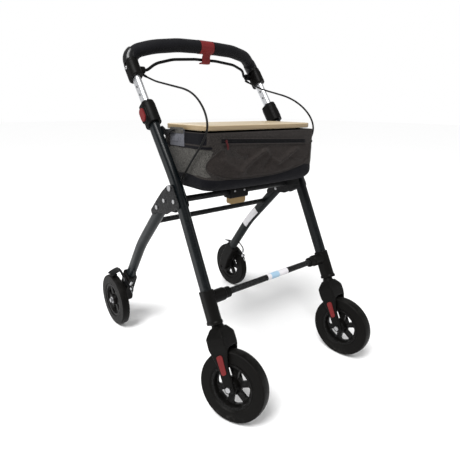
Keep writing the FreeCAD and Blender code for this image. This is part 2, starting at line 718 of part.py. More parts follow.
def lower_cable(side, sign):
    """Brake cable from its hole in the front of the leg down to the barrel above the clamp."""
    points = [at(sign * x, back, up) for x, back, up in (
        (226, 509, 222), (229, 500, 213), (234, 496, 203), (240, 499, 193), (243, 503, 185))]
    shaped(f"lower_brake_cable_{side}", rod(f"lower cable {side}", points, size("cable_diameter") / 2))


# ---- handlebar: inner tubes, brackets, arched bar, foam grips, brake bar and parking clip ----

inner_start, inner_end, bracket_start = 100, 349, 308
core_run, bracket_run = 40, 30.5                  # how far below the bend corner the bar and the bracket end
arch_rise = (-60, 26)                             # back and up from the bends to the middle
handle_corners = [(222, 0.0), (165, 0.64), (96, 0.95), (36, 1.0)]
clip_start, clip_end = -29, 17                    # the parking clip sits a little to the right of the middle


def handle_point(x, share):
    return at(x, 465 + arch_rise[0] * share, 878 + arch_rise[1] * share)


bend_corner = handle_point(*handle_corners[0])
bracket_top = (bend_corner - on_upper(bend_corner.x, 0)).dot(upper_axis) - bracket_run


def inner_tube(side, sign):
    made = body(f"inner_tube_{side}", row_place(on_upper(sign * size("tube_x"), inner_start), upper_turn))
    length = inner_end - inner_start
    pad(made, f"inner_wall_{side}", "XY_Plane", 0, length, slot("inner_tube_width", "inner_tube_depth"),
        slot("inner_tube_width", "inner_tube_depth", -2 * size("inner_tube_wall")))
    hole = both_ways(made, "Pocket", f"pin_hole_{side}", "YZ_Plane", 40, circle(size("pin_hole") / 2, 0, 80))
    rows = made.newObject("PartDesign::LinearPattern", f"pin_holes_{side}")
    rows.Originals = [hole]
    rows.Direction = (hole.Profile[0], ["V_Axis"])
    bind(rows, Length="4 * Sheet.pin_pitch")
    rows.Occurrences = 5
    made.Tip = rows


def handle_route(run):
    """Handlebar centre line from one bracket over the arch to the other."""
    half = [bend_corner - upper_axis * run, bend_corner]
    half += [handle_point(x, share) for x, share in handle_corners[1:]]
    radii = [32, 120, 120, 60]
    other = [Vector(-point.x, point.y, point.z) for point in reversed(half)]
    return half + other, radii + radii[::-1]


def handlebar():
    points, radii = handle_route(core_run)
    shaped("handlebar", rod("handlebar", points, size("handlebar_diameter") / 2, radii))


def grips():
    """Foam grips: the covered run from the clip's end to just above each bracket."""
    points, radii = handle_route(core_run)
    outer = rod("grip", points, size("grip_diameter") / 2, radii)
    core = rod("grip core", points, size("handlebar_diameter") / 2 + seat_gap, radii)
    sleeve = outer.cut(core)
    reach = 300
    for side, sign in sides:
        edge = clip_end + 0.6 if sign > 0 else clip_start - 0.6 - reach
        half = Part.makeBox(reach, 400, 400, at(edge, 250, 700))
        below = Part.makeBox(120, 120, 80)
        below.Placement = Placement(on_upper(sign * size("tube_x"), bracket_top + 0.3), upper_turn).multiply(
            Placement(Vector(-60, -60, -80), Rotation()))
        shaped(f"grip_{side}", sleeve.common(half).cut(below))


brake_bar_axis = (442, 835)


def bracket(side, sign):
    """Moulded bracket that joins the inner tube to the handlebar and carries the brake bar's end."""
    place = row_place(on_upper(sign * size("tube_x"), bracket_start), upper_turn)
    made = body(f"brake_bracket_{side}", place)
    seat = inner_end - bracket_start + 0.5
    corner = place.inverse().multVec(handle_point(sign * size("tube_x"), 0))
    top = bracket_top - bracket_start
    pad(made, f"bracket_sleeve_{side}", "XY_Plane", 0, seat,
        slot("tube_width", "tube_depth", 12), slot("inner_tube_width", "inner_tube_depth", 0.5))
    pad(made, f"bracket_collar_{side}", "XY_Plane", seat, top - seat, slot("tube_width", "tube_depth", 10),
        circle(size("handlebar_diameter") / 2 + 0.75, -sign * (size("tube_x") - bend_corner.x), corner.y))
    boss = place.inverse().multVec(at(0, *brake_bar_axis))
    low = -38 if sign > 0 else 17
    pad(made, f"bracket_boss_{side}", "YZ_Plane", low, 21, circle(9.5, boss.y, boss.z),
        circle(size("brake_bar_diameter") / 2 + size("running_gap"), boss.y, boss.z))


def brake_bar():
    """Bent rod that follows the arch below the grips, its turned ends running in the brackets' bosses."""
    back, up = brake_bar_axis
    rise = (-32, 36)
    half = [(203, 0.0), (178, 0.0), (158, 0.5), (110, 0.85), (38, 1.0)]
    points = [at(x, back + rise[0] * share, up + rise[1] * share) for x, share in half]
    other = [Vector(-point.x, point.y, point.z) for point in reversed(points)]
    radii = [14, 45, 90, 90]
    shaped("brake_bar", rod("brake bar", points + other, size("brake_bar_diameter") / 2, radii + radii[::-1]))


def parking_clip():
    """Parking clip: a sleeve on the bare middle of the handlebar with a hooked tongue round the brake bar."""
    hub = handle_point(0, 1.0)
    made = body("parking_clip", row_place(hub + Vector((clip_start + clip_end) / 2, 0, 0)))
    inner = size("handlebar_diameter") / 2 + 0.6
    length = clip_end - clip_start
    both_ways(made, "Pad", "clip_sleeve", "YZ_Plane", length, circle(18.5), circle(inner))
    bar = at(0, brake_bar_axis[0] - 32, brake_bar_axis[1] + 36) - hub
    front, floor = bar.y - 6.5, bar.z - 6
    hook = [(-18, 2, 2), (-13, -8, 2), (front, bar.z + 8, 4), (front, floor, 4), (bar.y + 9, floor - 1.5, 1),
            (bar.y + 10, floor - 5, 1.5), (front - 4, floor - 6, 5), (front - 5, bar.z + 10, 6),
            (-18.4, -10, 4)]
    pad(made, "clip_tongue", "YZ_Plane", -12, 27, outline(hook))


def upper_cable(side, sign):
    """Brake cable from the bracket, looping forward and round the basket down to the fold pivot."""
    start = [(189, 441, 822), (184, 396, 806)]
    if sign > 0:
        loop = [(180, 345, 792), (179, 292, 781), (180, 246, 771), (184, 209, 756), (191, 178, 734),
                (198, 157, 706), (203, 152, 677), (205.6, 166, 647), (206, 188, 618), (205.4, 211, 591)]
    else:
        loop = [(180, 345, 797), (179, 292, 788), (180, 246, 781), (183, 206, 769), (189, 169, 750),
                (196, 137, 724), (201.5, 122, 694), (205, 137, 662), (206, 169, 630), (205.4, 202, 598)]
    points = [at(sign * x, back, up) for x, back, up in start + loop + [(204.2, 232, 566)]]
    shaped(f"upper_brake_cable_{side}", rod(f"upper cable {side}", points, size("cable_diameter") / 2))


for side, sign in sides:
    caster(side, sign, size("near_swivel") if sign < 0 else size("far_swivel"))
    rear_wheel(side, sign)
    front_tube(side, sign)
    front_casting(side, sign)
    collar(side, sign)
    gusset(side, sign)
    rear_leg(side, sign)
    rear_foot(side, sign)
    rear_brake(side, sign)
    lower_cable(side, sign)
    inner_tube(side, sign)
    bracket(side, sign)
    upper_cable(side, sign)
crossbars()
tray()
tray_arms()
basket()
rivet_row()
rear_axles()
latch()
brake_pins()
handlebar()
grips()
brake_bar()
parking_clip()
doc.recompute()

for item in doc.Objects:
    if "Invalid" in item.State or "Error" in item.State:
        raise RuntimeError(f"{item.Label}: {item.State}")
os.makedirs("parts", exist_ok=True)
for piece in pieces:
    if piece.Shape.isNull() or not piece.Shape.isValid() or not piece.Shape.Solids:
        raise RuntimeError(piece.Label + ": not a valid solid")
    piece.Shape.exportStep(f"parts/{piece.Label}.step")
whole = Part.makeCompound([piece.Shape for piece in pieces]).BoundBox
print(len(pieces), "parts; box", whole)
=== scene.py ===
import json
import math
import bmesh
import bpy
from mathutils import Matrix, Vector, noise


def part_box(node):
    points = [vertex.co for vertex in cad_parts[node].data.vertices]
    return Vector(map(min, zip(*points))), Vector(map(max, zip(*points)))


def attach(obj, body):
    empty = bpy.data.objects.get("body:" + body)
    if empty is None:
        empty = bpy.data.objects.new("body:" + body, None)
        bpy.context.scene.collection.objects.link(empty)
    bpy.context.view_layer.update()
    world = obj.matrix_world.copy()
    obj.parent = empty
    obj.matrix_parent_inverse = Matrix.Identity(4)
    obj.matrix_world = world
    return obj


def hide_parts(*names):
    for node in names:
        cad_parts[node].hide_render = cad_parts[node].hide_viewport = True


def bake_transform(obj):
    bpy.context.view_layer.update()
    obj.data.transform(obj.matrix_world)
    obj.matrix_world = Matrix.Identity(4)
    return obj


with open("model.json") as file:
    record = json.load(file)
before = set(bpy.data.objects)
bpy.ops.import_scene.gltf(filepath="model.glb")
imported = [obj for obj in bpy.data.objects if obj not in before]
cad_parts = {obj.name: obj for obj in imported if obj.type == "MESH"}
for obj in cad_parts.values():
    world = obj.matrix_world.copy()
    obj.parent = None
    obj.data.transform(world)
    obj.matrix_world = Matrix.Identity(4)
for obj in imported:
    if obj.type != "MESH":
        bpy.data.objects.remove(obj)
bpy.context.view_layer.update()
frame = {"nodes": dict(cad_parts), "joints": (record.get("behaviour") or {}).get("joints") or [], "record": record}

scene = bpy.context.scene
frontAxle = next(Vector(j["pos_m"]) for j in frame["joints"] if j["name"] == "front_wheel_left_spin")
sides = (("left", 1), ("right", -1))
mm = 0.001
print("rollator: frame loaded,", len(frame["nodes"]), "nodes")


def at(x, back, up):
    # millimetres: across, behind the front axle, above the floor
    return Vector((x * mm, frontAxle.y + back * mm, up * mm))


# ---------- shader node groups ----------

def newGroup(name, inputs, outputs):
    group = bpy.data.node_groups.new(name, "ShaderNodeTree")
    for label, kind, value in inputs:
        socket = group.interface.new_socket(label, in_out="INPUT", socket_type=kind)
        socket.default_value = value
    for label, kind in outputs:
        group.interface.new_socket(label, in_out="OUTPUT", socket_type=kind)
    return group, group.nodes.new("NodeGroupInput"), group.nodes.new("NodeGroupOutput")


def addNode(tree, kind, links=None, **settings):
    # settings with a socket's name go to the socket, the others to the node itself
    node = tree.nodes.new(kind)
    for key, value in settings.items():
        name = key.replace("_", " ")
        if name in node.inputs:
            node.inputs[name].default_value = value
        else:
            setattr(node, key, value)
    for name, source in (links or {}).items():
        tree.links.new(source, node.inputs[name])
    return node


def objectSpace(tree):
    return addNode(tree, "ShaderNodeTexCoord").outputs["Object"]


floatSocket, colorSocket = "NodeSocketFloat", "NodeSocketColor"


def mapRange(tree, value, low, high, toLow, toHigh):
    node = addNode(tree, "ShaderNodeMapRange", {"Value": value})
    for name, number in (("From Min", low), ("From Max", high), ("To Min", toLow), ("To Max", toHigh)):
        node.inputs[name].default_value = number
    return node.outputs["Result"]


def mathNode(tree, operation, first, second=0.5):
    node = tree.nodes.new("ShaderNodeMath")
    node.operation = operation
    for number, value in enumerate((first, second)):
        if isinstance(value, (int, float)):
            node.inputs[number].default_value = value
        else:
            tree.links.new(value, node.inputs[number])
    return node.outputs[0]


def mixColor(tree, factor, first, second, blend="MIX"):
    node = tree.nodes.new("ShaderNodeMix")
    node.data_type = "RGBA"
    node.blend_type = blend
    for slot, value in ((0, factor), (6, first), (7, second)):
        if isinstance(value, (int, float, tuple)):
            node.inputs[slot].default_value = value
        else:
            tree.links.new(value, node.inputs[slot])
    return node.outputs[2]


def makeMouldedGrain():
    # fine pebble of moulded plastic, with a slow change of tone and polish
    group, given, made = newGroup(
        "mouldedGrain",
        [("Tone", colorSocket, (0.02, 0.02, 0.02, 1)), ("Grain", floatSocket, 900.0),
         ("Roughness", floatSocket, 0.45), ("Variation", floatSocket, 0.25)],
        [("Color", colorSocket), ("Roughness", floatSocket), ("Height", floatSocket)])
    where = objectSpace(group)
    pebble = addNode(group, "ShaderNodeTexVoronoi", {"Vector": where, "Scale": given.outputs["Grain"]})
    cloud = addNode(group, "ShaderNodeTexNoise", {"Vector": where}, Scale=22.0, Detail=4.0, Roughness=0.6)
    scuff = addNode(group, "ShaderNodeTexNoise", {"Vector": where}, Scale=160.0, Detail=6.0, Roughness=0.7)
    lift = mathNode(group, "MULTIPLY", mapRange(group, cloud.outputs["Fac"], 0.3, 0.7, 0.0, 1.0),
                    given.outputs["Variation"])
    pale = mixColor(group, 1.0, given.outputs["Tone"], (1.7, 1.66, 1.62, 1), "MULTIPLY")
    group.links.new(mixColor(group, lift, given.outputs["Tone"], pale), made.inputs["Color"])
    rough = mathNode(group, "ADD", given.outputs["Roughness"],
                     mapRange(group, scuff.outputs["Fac"], 0.3, 0.7, -0.08, 0.1))
    group.links.new(rough, made.inputs["Roughness"])
    group.links.new(pebble.outputs["Distance"], made.inputs["Height"])
    return group


def makeEdgeWear():
    # convex edges, broken up by noise
    group, given, made = newGroup(
        "edgeWear", [("Amount", floatSocket, 0.4), ("Breakup", floatSocket, 260.0)], [("Mask", floatSocket)])
    sharp = addNode(group, "ShaderNodeNewGeometry").outputs["Pointiness"]
    where = objectSpace(group)
    patches = addNode(group, "ShaderNodeTexNoise", {"Vector": where, "Scale": given.outputs["Breakup"]}, Detail=5.0)
    edge = mapRange(group, sharp, 0.515, 0.56, 0.0, 1.0)
    broken = mathNode(group, "MULTIPLY", edge, mapRange(group, patches.outputs["Fac"], 0.42, 0.6, 0.0, 1.0))
    group.links.new(mathNode(group, "MULTIPLY", broken, given.outputs["Amount"]), made.inputs["Mask"])
    return group


def makeBrushed():
    # hairlines along one direction: the vector is squeezed along the other two
    group, given, made = newGroup(
        "brushedLines",
        [("Stretch", "NodeSocketVector", (900.0, 900.0, 12.0)), ("Tilt", "NodeSocketVector", (0, 0, 0))],
        [("Lines", floatSocket), ("Blotch", floatSocket)])
    where = objectSpace(group)
    turned = addNode(group, "ShaderNodeMapping", {"Vector": where, "Rotation": given.outputs["Tilt"],
                                                  "Scale": given.outputs["Stretch"]})
    lines = addNode(group, "ShaderNodeTexNoise", {"Vector": turned.outputs["Vector"]}, Scale=1.0, Detail=3.0)
    blotch = addNode(group, "ShaderNodeTexNoise", {"Vector": where}, Scale=35.0, Detail=3.0)
    group.links.new(lines.outputs["Fac"], made.inputs["Lines"])
    group.links.new(blotch.outputs["Fac"], made.inputs["Blotch"])
    return group


def makeWeave():
    # plain weave with threads of mixed tone
    group, given, made = newGroup(
        "melangeWeave",
        [("Dark", colorSocket, (0.04, 0.035, 0.03, 1)), ("Light", colorSocket, (0.2, 0.18, 0.16, 1)),
         ("Thread", floatSocket, 520.0), ("Melange", floatSocket, 1.0)],
        [("Color", colorSocket), ("Height", floatSocket)])
    where = objectSpace(group)
    bands = []
    for direction, squeeze in (("DIAGONAL", (1, 1, 0.001)), ("Z", (1, 1, 1))):
        mapped = addNode(group, "ShaderNodeMapping", {"Vector": where})
        mapped.inputs["Scale"].default_value = squeeze
        wave = addNode(group, "ShaderNodeTexWave", {"Vector": mapped.outputs["Vector"],
                                                    "Scale": given.outputs["Thread"]}, bands_direction=direction)
        wave.inputs["Distortion"].default_value = 0.6
        bands.append(wave.outputs["Fac"])
    height = mathNode(group, "MAXIMUM", bands[0], bands[1])
    fibre = []
    for stretch in ((260.0, 260.0, 1500.0), (1500.0, 1500.0, 240.0)):
        mapped = addNode(group, "ShaderNodeMapping", {"Vector": where})
        mapped.inputs["Scale"].default_value = stretch
        fibre.append(addNode(group, "ShaderNodeTexNoise", {"Vector": mapped.outputs["Vector"]},
                             Scale=1.0, Detail=2.0).outputs["Fac"])
    mixed = mathNode(group, "MULTIPLY", mathNode(group, "ADD", fibre[0], fibre[1]), 0.5)
    speckle = mapRange(group, mixed, 0.4, 0.62, 0.0, 1.0)
    speckle = mathNode(group, "MULTIPLY", speckle, given.outputs["Melange"])
    slow = addNode(group, "ShaderNodeTexNoise", {"Vector": where}, Scale=9.0, Detail=2.0).outputs["Fac"]
    tone = mixColor(group, speckle, given.outputs["Dark"], given.outputs["Light"])
    shade = mixColor(group, 0.14, tone, mixColor(group, mapRange(group, slow, 0.35, 0.65, 0.0, 1.0),
                                                (0.55, 0.55, 0.56, 1), (1.25, 1.22, 1.2, 1)), "MULTIPLY")
    group.links.new(shade, made.inputs["Color"])
    group.links.new(height, made.inputs["Height"])
    return group


def makeDust():
    # dust lies on faces that look up
    group, given, made = newGroup("settledDust", [("Amount", floatSocket, 0.15)], [("Mask", floatSocket)])
    normal = addNode(group, "ShaderNodeNewGeometry").outputs["Normal"]
    upward = addNode(group, "ShaderNodeSeparateXYZ", {"Vector": normal}).outputs["Z"]
    where = objectSpace(group)
    cloud = addNode(group, "ShaderNodeTexNoise", {"Vector": where}, Scale=45.0, Detail=6.0, Roughness=0.7)
    mask = mathNode(group, "MULTIPLY", mapRange(group, upward, 0.2, 1.0, 0.0, 1.0),
                    mapRange(group, cloud.outputs["Fac"], 0.4, 0.7, 0.0, 1.0))
    group.links.new(mathNode(group, "MULTIPLY", mask, given.outputs["Amount"]), made.inputs["Mask"])
    return group


mouldedGrain, edgeWear, brushedLines = makeMouldedGrain(), makeEdgeWear(), makeBrushed()
melangeWeave, settledDust = makeWeave(), makeDust()


def placeGroup(tree, group, **values):
    node = tree.nodes.new("ShaderNodeGroup")
    node.node_tree = group
    for name, value in values.items():
        node.inputs[name].default_value = value
    return node.outputs


def newMaterial(name, **shaderValues):
    material = bpy.data.materials.new(name)
    material.use_nodes = True
    tree = material.node_tree
    shader = tree.nodes["Principled BSDF"]
    for key, value in shaderValues.items():
        shader.inputs[key.replace("_", " ")].default_value = value
    return material, tree, shader


def bump(tree, shader, height, strength, distance):
    node = addNode(tree, "ShaderNodeBump", {"Height": height}, Strength=strength, Distance=distance)
    tree.links.new(node.outputs["Normal"], shader.inputs["Normal"])


print("rollator: node groups made")


# ---------- materials ----------

def mouldedMaterial(name, tone, roughness=0.45, variation=0.25, grain=900.0, wear=0.2, wornTone=(0.05, 0.05, 0.05, 1),
                    strength=0.25, gloss=0.12, dust=0.02):
    material, tree, shader = newMaterial(name, Specular_IOR_Level=gloss)
    grainOut = placeGroup(tree, mouldedGrain, Tone=tone, Grain=grain, Roughness=roughness, Variation=variation)
    worn = placeGroup(tree, edgeWear, Amount=wear)
    dusty = placeGroup(tree, settledDust, Amount=dust)
    color = mixColor(tree, worn["Mask"], grainOut["Color"], wornTone)
    color = mixColor(tree, dusty["Mask"], color, (0.3, 0.29, 0.27, 1))
    tree.links.new(color, shader.inputs["Base Color"])
    tree.links.new(mathNode(tree, "ADD", grainOut["Roughness"], dusty["Mask"]), shader.inputs["Roughness"])
    bump(tree, shader, grainOut["Height"], strength, 0.0002)
    return material


def tubeMaterial(name, tone, paintedSheen, roughness):
    # lacquered tube under a clear coat: deep colour, with a painted blue-green sheen mixed in where the surface is
    # seen at a slant
    material, tree, shader = newMaterial(name, Coat_Roughness=0.16, Specular_IOR_Level=0.12)
    lines = placeGroup(tree, brushedLines, Stretch=(40.0, 40.0, 8.0))
    worn = placeGroup(tree, edgeWear, Amount=0.04)
    facing = addNode(tree, "ShaderNodeLayerWeight")
    facing.inputs["Blend"].default_value = 0.35
    # painted sheen: the colour slides toward the blue-green sheen colour as the surface turns away from the view
    color = mixColor(tree, mapRange(tree, facing.outputs["Facing"], 0.0, 1.0, 0.05, 0.6), tone, paintedSheen)
    color = mixColor(tree, worn["Mask"], color, (0.12, 0.13, 0.135, 1))
    tree.links.new(color, shader.inputs["Base Color"])
    tree.links.new(mapRange(tree, lines["Blotch"], 0.3, 0.7, roughness - 0.05, roughness + 0.08),
                   shader.inputs["Roughness"])
    shader.inputs["Coat Weight"].default_value = 0.1
    shader.inputs["Metallic"].default_value = 0.05
    bump(tree, shader, lines["Lines"], 0.03, 0.0001)
    return material


def metalMaterial(name, tone, roughness, stretch, tilt=(0.0, 0.0, 0.0)):
    material, tree, shader = newMaterial(name, Metallic=1.0)
    lines = placeGroup(tree, brushedLines, Stretch=stretch, Tilt=tilt)
    dark = tuple(c * 0.88 for c in tone[:3]) + (1,)
    tree.links.new(mixColor(tree, mapRange(tree, lines["Blotch"], 0.35, 0.65, 0.0, 0.5), tone, dark),
                   shader.inputs["Base Color"])
    tree.links.new(mapRange(tree, lines["Lines"], 0.3, 0.7, roughness - 0.03, roughness + 0.05),
                   shader.inputs["Roughness"])
    bump(tree, shader, lines["Lines"], 0.04, 0.0001)
    return material


def fabricMaterial(name, dark, light, thread, melange=1.0, roughness=0.9, strength=0.5):
    material, tree, shader = newMaterial(name, Sheen_Weight=0.03, Sheen_Roughness=0.5, Roughness=roughness,
                                         Specular_IOR_Level=0.1)
    cloth = placeGroup(tree, melangeWeave, Dark=dark, Light=light, Thread=thread, Melange=melange)
    dusty = placeGroup(tree, settledDust, Amount=0.06)
    tree.links.new(mixColor(tree, dusty["Mask"], cloth["Color"], (0.3, 0.28, 0.26, 1)), shader.inputs["Base Color"])
    bump(tree, shader, cloth["Height"], strength, 0.0004)
    return material


def foamMaterial(name, tone):
    # closed-cell foam: two sizes of pores and a dry, slightly dusty skin
    material, tree, shader = newMaterial(name, Sheen_Weight=0.02, Specular_IOR_Level=0.1)
    where = objectSpace(tree)
    pores = addNode(tree, "ShaderNodeTexVoronoi", {"Vector": where}, Scale=1100.0)
    cells = addNode(tree, "ShaderNodeTexNoise", {"Vector": where}, Scale=420.0, Detail=5.0)
    grainOut = placeGroup(tree, mouldedGrain, Tone=tone, Grain=700.0, Roughness=0.72, Variation=0.35)
    dusty = placeGroup(tree, settledDust, Amount=0.04)
    tree.links.new(mixColor(tree, dusty["Mask"], grainOut["Color"], (0.2, 0.2, 0.2, 1)), shader.inputs["Base Color"])
    tree.links.new(grainOut["Roughness"], shader.inputs["Roughness"])
    height = mathNode(tree, "ADD", pores.outputs["Distance"], cells.outputs["Fac"])
    bump(tree, shader, height, 0.45, 0.0005)
    return material


def tyreMaterial(name, tone):
    material, tree, shader = newMaterial(name, Specular_IOR_Level=0.08)
    grainOut = placeGroup(tree, mouldedGrain, Tone=tone, Grain=600.0, Roughness=0.5, Variation=0.4)
    dusty = placeGroup(tree, settledDust, Amount=0.05)
    where = objectSpace(tree)
    low = mapRange(tree, addNode(tree, "ShaderNodeSeparateXYZ", {"Vector": where}).outputs["Z"], 0.0, 0.03, 1.0, 0.0)
    marks = addNode(tree, "ShaderNodeTexNoise", {"Vector": where}, Scale=120.0, Detail=6.0)
    floorDust = mathNode(tree, "MULTIPLY", low, mapRange(tree, marks.outputs["Fac"], 0.45, 0.65, 0.0, 0.15))
    color = mixColor(tree, floorDust, grainOut["Color"], (0.2, 0.19, 0.18, 1))
    color = mixColor(tree, dusty["Mask"], color, (0.24, 0.23, 0.22, 1))
    tree.links.new(color, shader.inputs["Base Color"])
    tree.links.new(grainOut["Roughness"], shader.inputs["Roughness"])
    bump(tree, shader, grainOut["Height"], 0.3, 0.0003)
    return material


def plywoodMaterial(name):
    # pale lacquered face, with the veneers showing as bands on the edge
    material, tree, shader = newMaterial(name, Coat_Roughness=0.25)
    where = objectSpace(tree)
    stretched = addNode(tree, "ShaderNodeMapping", {"Vector": where})
    stretched.inputs["Scale"].default_value = (6.0, 95.0, 20.0)
    figure = addNode(tree, "ShaderNodeTexNoise", {"Vector": stretched.outputs["Vector"]}, Scale=1.0, Detail=8.0)
    pores = addNode(tree, "ShaderNodeMapping", {"Vector": where})
    pores.inputs["Scale"].default_value = (45.0, 1500.0, 300.0)
    fine = addNode(tree, "ShaderNodeTexNoise", {"Vector": pores.outputs["Vector"]}, Scale=1.0, Detail=3.0)
    face = mixColor(tree, mapRange(tree, figure.outputs["Fac"], 0.35, 0.65, 0.0, 1.0),
                    (0.60, 0.50, 0.34, 1), (0.50, 0.39, 0.24, 1))
    face = mixColor(tree, mapRange(tree, fine.outputs["Fac"], 0.5, 0.75, 0.0, 0.45), face, (0.42, 0.3, 0.16, 1))
    layers = addNode(tree, "ShaderNodeTexWave", {"Vector": where}, bands_direction="Z", Scale=115.0)
    edge = mixColor(tree, layers.outputs["Fac"], (0.20, 0.13, 0.065, 1), (0.40, 0.31, 0.18, 1))
    normal = addNode(tree, "ShaderNodeNewGeometry").outputs["Normal"]
    upward = mathNode(tree, "ABSOLUTE", addNode(tree, "ShaderNodeSeparateXYZ", {"Vector": normal}).outputs["Z"])
    color = mixColor(tree, mapRange(tree, upward, 0.35, 0.6, 0.0, 1.0), edge, face)
    tree.links.new(color, shader.inputs["Base Color"])
    tree.links.new(mapRange(tree, fine.outputs["Fac"], 0.3, 0.7, 0.32, 0.5), shader.inputs["Roughness"])
    shader.inputs["Coat Weight"].default_value = 0.25
    bump(tree, shader, fine.outputs["Fac"], 0.15, 0.0002)
    return material


finish = {
    # the second colour is the tube's painted blue-green sheen
    "tube": tubeMaterial("tubeLacquer", (0.0012, 0.0019, 0.0024, 1), (0.004, 0.010, 0.013, 1), 0.3),
    "silver": metalMaterial("silverTube", (0.78, 0.79, 0.81, 1), 0.4, (900.0, 900.0, 10.0), (0.627, 0.0, 0.0)),
    "plastic": mouldedMaterial("blackPlastic", (0.0034, 0.0032, 0.003, 1), 0.42, gloss=0.07, dust=0.01),
    "gloss": mouldedMaterial("glossPlastic", (0.0055, 0.0055, 0.006, 1), 0.24, 0.1, gloss=0.3, wear=0.0,
                             strength=0.03, dust=0.0),
    "softPlastic": mouldedMaterial("blackRimPlastic", (0.0026, 0.0024, 0.0022, 1), 0.4, grain=700.0,
                                   gloss=0.07, dust=0.01),
    "foam": foamMaterial("gripFoam", (0.0048, 0.0048, 0.0062, 1)),
    "red": mouldedMaterial("redPlastic", (0.135, 0.014, 0.015, 1), 0.4, 0.3, wear=0.1,
                           wornTone=(0.25, 0.05, 0.05, 1)),
    "pull": mouldedMaterial("pullRubber", (0.05, 0.008, 0.009, 1), 0.4, 0.2, wear=0.0, strength=0.1),
    "button": mouldedMaterial("buttonPlastic", (0.34, 0.022, 0.035, 1), 0.35, 0.3, wear=0.1,
                              wornTone=(0.5, 0.12, 0.12, 1)),
    "tyre": tyreMaterial("solidTyre", (0.0028, 0.0026, 0.0023, 1)),
    "steel": metalMaterial("zincSteel", (0.42, 0.42, 0.43, 1), 0.34, (500.0, 500.0, 500.0)),
    "powder": mouldedMaterial("powderCoat", (0.0035, 0.0037, 0.0042, 1), 0.36, 0.2, grain=1300.0, gloss=0.08,
                              wear=0.15, wornTone=(0.12, 0.12, 0.12, 1), strength=0.12),
    "board": plywoodMaterial("plyBoard"),
    "beige": mouldedMaterial("beigePlastic", (0.28, 0.19, 0.085, 1), 0.4, 0.15, wear=0.1,
                             wornTone=(0.6, 0.5, 0.3, 1)),
    "cloth": fabricMaterial("melangeCloth", (0.014, 0.0122, 0.0118, 1), (0.05, 0.044, 0.041, 1), 480.0, 0.8),
    "pocketCloth": fabricMaterial("pocketCloth", (0.0135, 0.0112, 0.0103, 1), (0.042, 0.0345, 0.032, 1), 480.0, 0.7),
    "mesh": fabricMaterial("meshCloth", (0.018, 0.0172, 0.016, 1), (0.115, 0.111, 0.102, 1), 260.0, 1.0, 0.85, 0.9),
    "blackCloth": fabricMaterial("blackCloth", (0.0022, 0.0022, 0.0034, 1), (0.007, 0.007, 0.010, 1), 700.0, 0.6),
    "webbing": fabricMaterial("greyWebbing", (0.062, 0.064, 0.073, 1), (0.19, 0.194, 0.22, 1), 380.0, 0.7),
    "cable": mouldedMaterial("cableSheath", (0.006, 0.006, 0.006, 1), 0.4, 0.15, wear=0.0, strength=0.1),
    "paper": mouldedMaterial("blankLabel", (0.62, 0.61, 0.63, 1), 0.5, 0.15, wear=0.0, strength=0.05),
    "paleBlue": mouldedMaterial("labelBand", (0.32, 0.47, 0.6, 1), 0.5, 0.15, wear=0.0, strength=0.05),
}
slotFinish = {
    "frame_tube": "tube", "silver_tube": "silver", "black_plastic": "plastic", "foam": "foam", "red_plastic": "red",
    "tyre": "tyre", "steel": "steel", "black_steel": "powder", "tray_board": "board", "beige_plastic": "beige",
    "basket_fabric": "cloth", "cable": "cable",
}
nodeSlot = {part["node"]: part["material_slot"] for part in frame["record"]["subparts"]}


def smoothByAngle(data, angle=35):
    bm = bmesh.new()
    bm.from_mesh(data)
    for face in bm.faces:
        face.smooth = True
    for edge in bm.edges:
        flat = len(edge.link_faces) == 2 and edge.calc_face_angle(0) > math.radians(angle)
        edge.smooth = not flat
    bm.to_mesh(data)
    bm.free()


for name, node in frame["nodes"].items():
    look = finish[slotFinish[nodeSlot[name]]]
    if "rim" in name:
        look = finish["softPlastic"]
    if "button" in name:
        look = finish["button"]
    node.data.materials.clear()
    node.data.materials.append(look)
    smoothByAngle(node.data)
print("rollator: materials made")


# ---------- floor, light and camera ----------

studio = {"floorSize": 40.0, "floorTone": (0.97, 0.97, 0.97, 1), "sky": 0.42,
          "sun": {"strength": 2.3, "spread": 24, "place": (-1.6, -0.7, 3.0)},
          "lamps": (("keyLight", (-2.6, -0.6, 3.0), 1.6, 55, (0, 0, 0.4)),
                    ("fillLight", (1.6, -2.8, 2.2), 2.0, 16, (0, 0, 0.4)),
                    ("backLight", (0.8, 2.6, 2.6), 1.8, 24, (0, 0, 0.5))),
          "camera": (-0.7235, -0.9025, 0.7393), "turn": -39.1, "tilt": 17.69, "roll": 0.44, "lens": 30.14}


def makeStudio(s):
    bpy.ops.mesh.primitive_plane_add(size=s["floorSize"], location=(0, 0, 0))
    floor = bpy.context.object
    floor.name = "studioFloor"
    material, tree, shader = newMaterial("studioFloorPaint", Roughness=0.9)
    where = objectSpace(tree)
    cloud = addNode(tree, "ShaderNodeTexNoise", {"Vector": where}, Scale=3.0, Detail=2.0)
    tone = s["floorTone"]
    tree.links.new(mixColor(tree, cloud.outputs["Fac"], tone, tuple(c * 0.985 for c in tone)),
                   shader.inputs["Base Color"])
    floor.data.materials.append(material)
    world = bpy.data.worlds.new("studioWorld")
    world.use_nodes = True
    tree = world.node_tree
    seen = tree.nodes.new("ShaderNodeLightPath").outputs["Is Camera Ray"]
    tree.nodes["Background"].inputs["Color"].default_value = (1, 1, 1, 1)
    tree.links.new(mapRange(tree, seen, 0.0, 1.0, s["sky"], 1.0), tree.nodes["Background"].inputs["Strength"])
    scene.world = world
    sun = bpy.data.lights.new("softSun", "SUN")
    sun.energy = s["sun"]["strength"]
    sun.angle = math.radians(s["sun"]["spread"])
    holder = bpy.data.objects.new("softSun", sun)
    holder.rotation_euler = (-Vector(s["sun"]["place"])).to_track_quat("-Z", "Y").to_euler()
    scene.collection.objects.link(holder)
    for name, place, size, power, aim in s["lamps"]:
        lamp = bpy.data.lights.new(name, "AREA")
        lamp.size = size
        lamp.energy = power
        holder = bpy.data.objects.new(name, lamp)
        holder.location = place
        holder.rotation_euler = (Vector(aim) - Vector(place)).to_track_quat("-Z", "Y").to_euler()
        scene.collection.objects.link(holder)


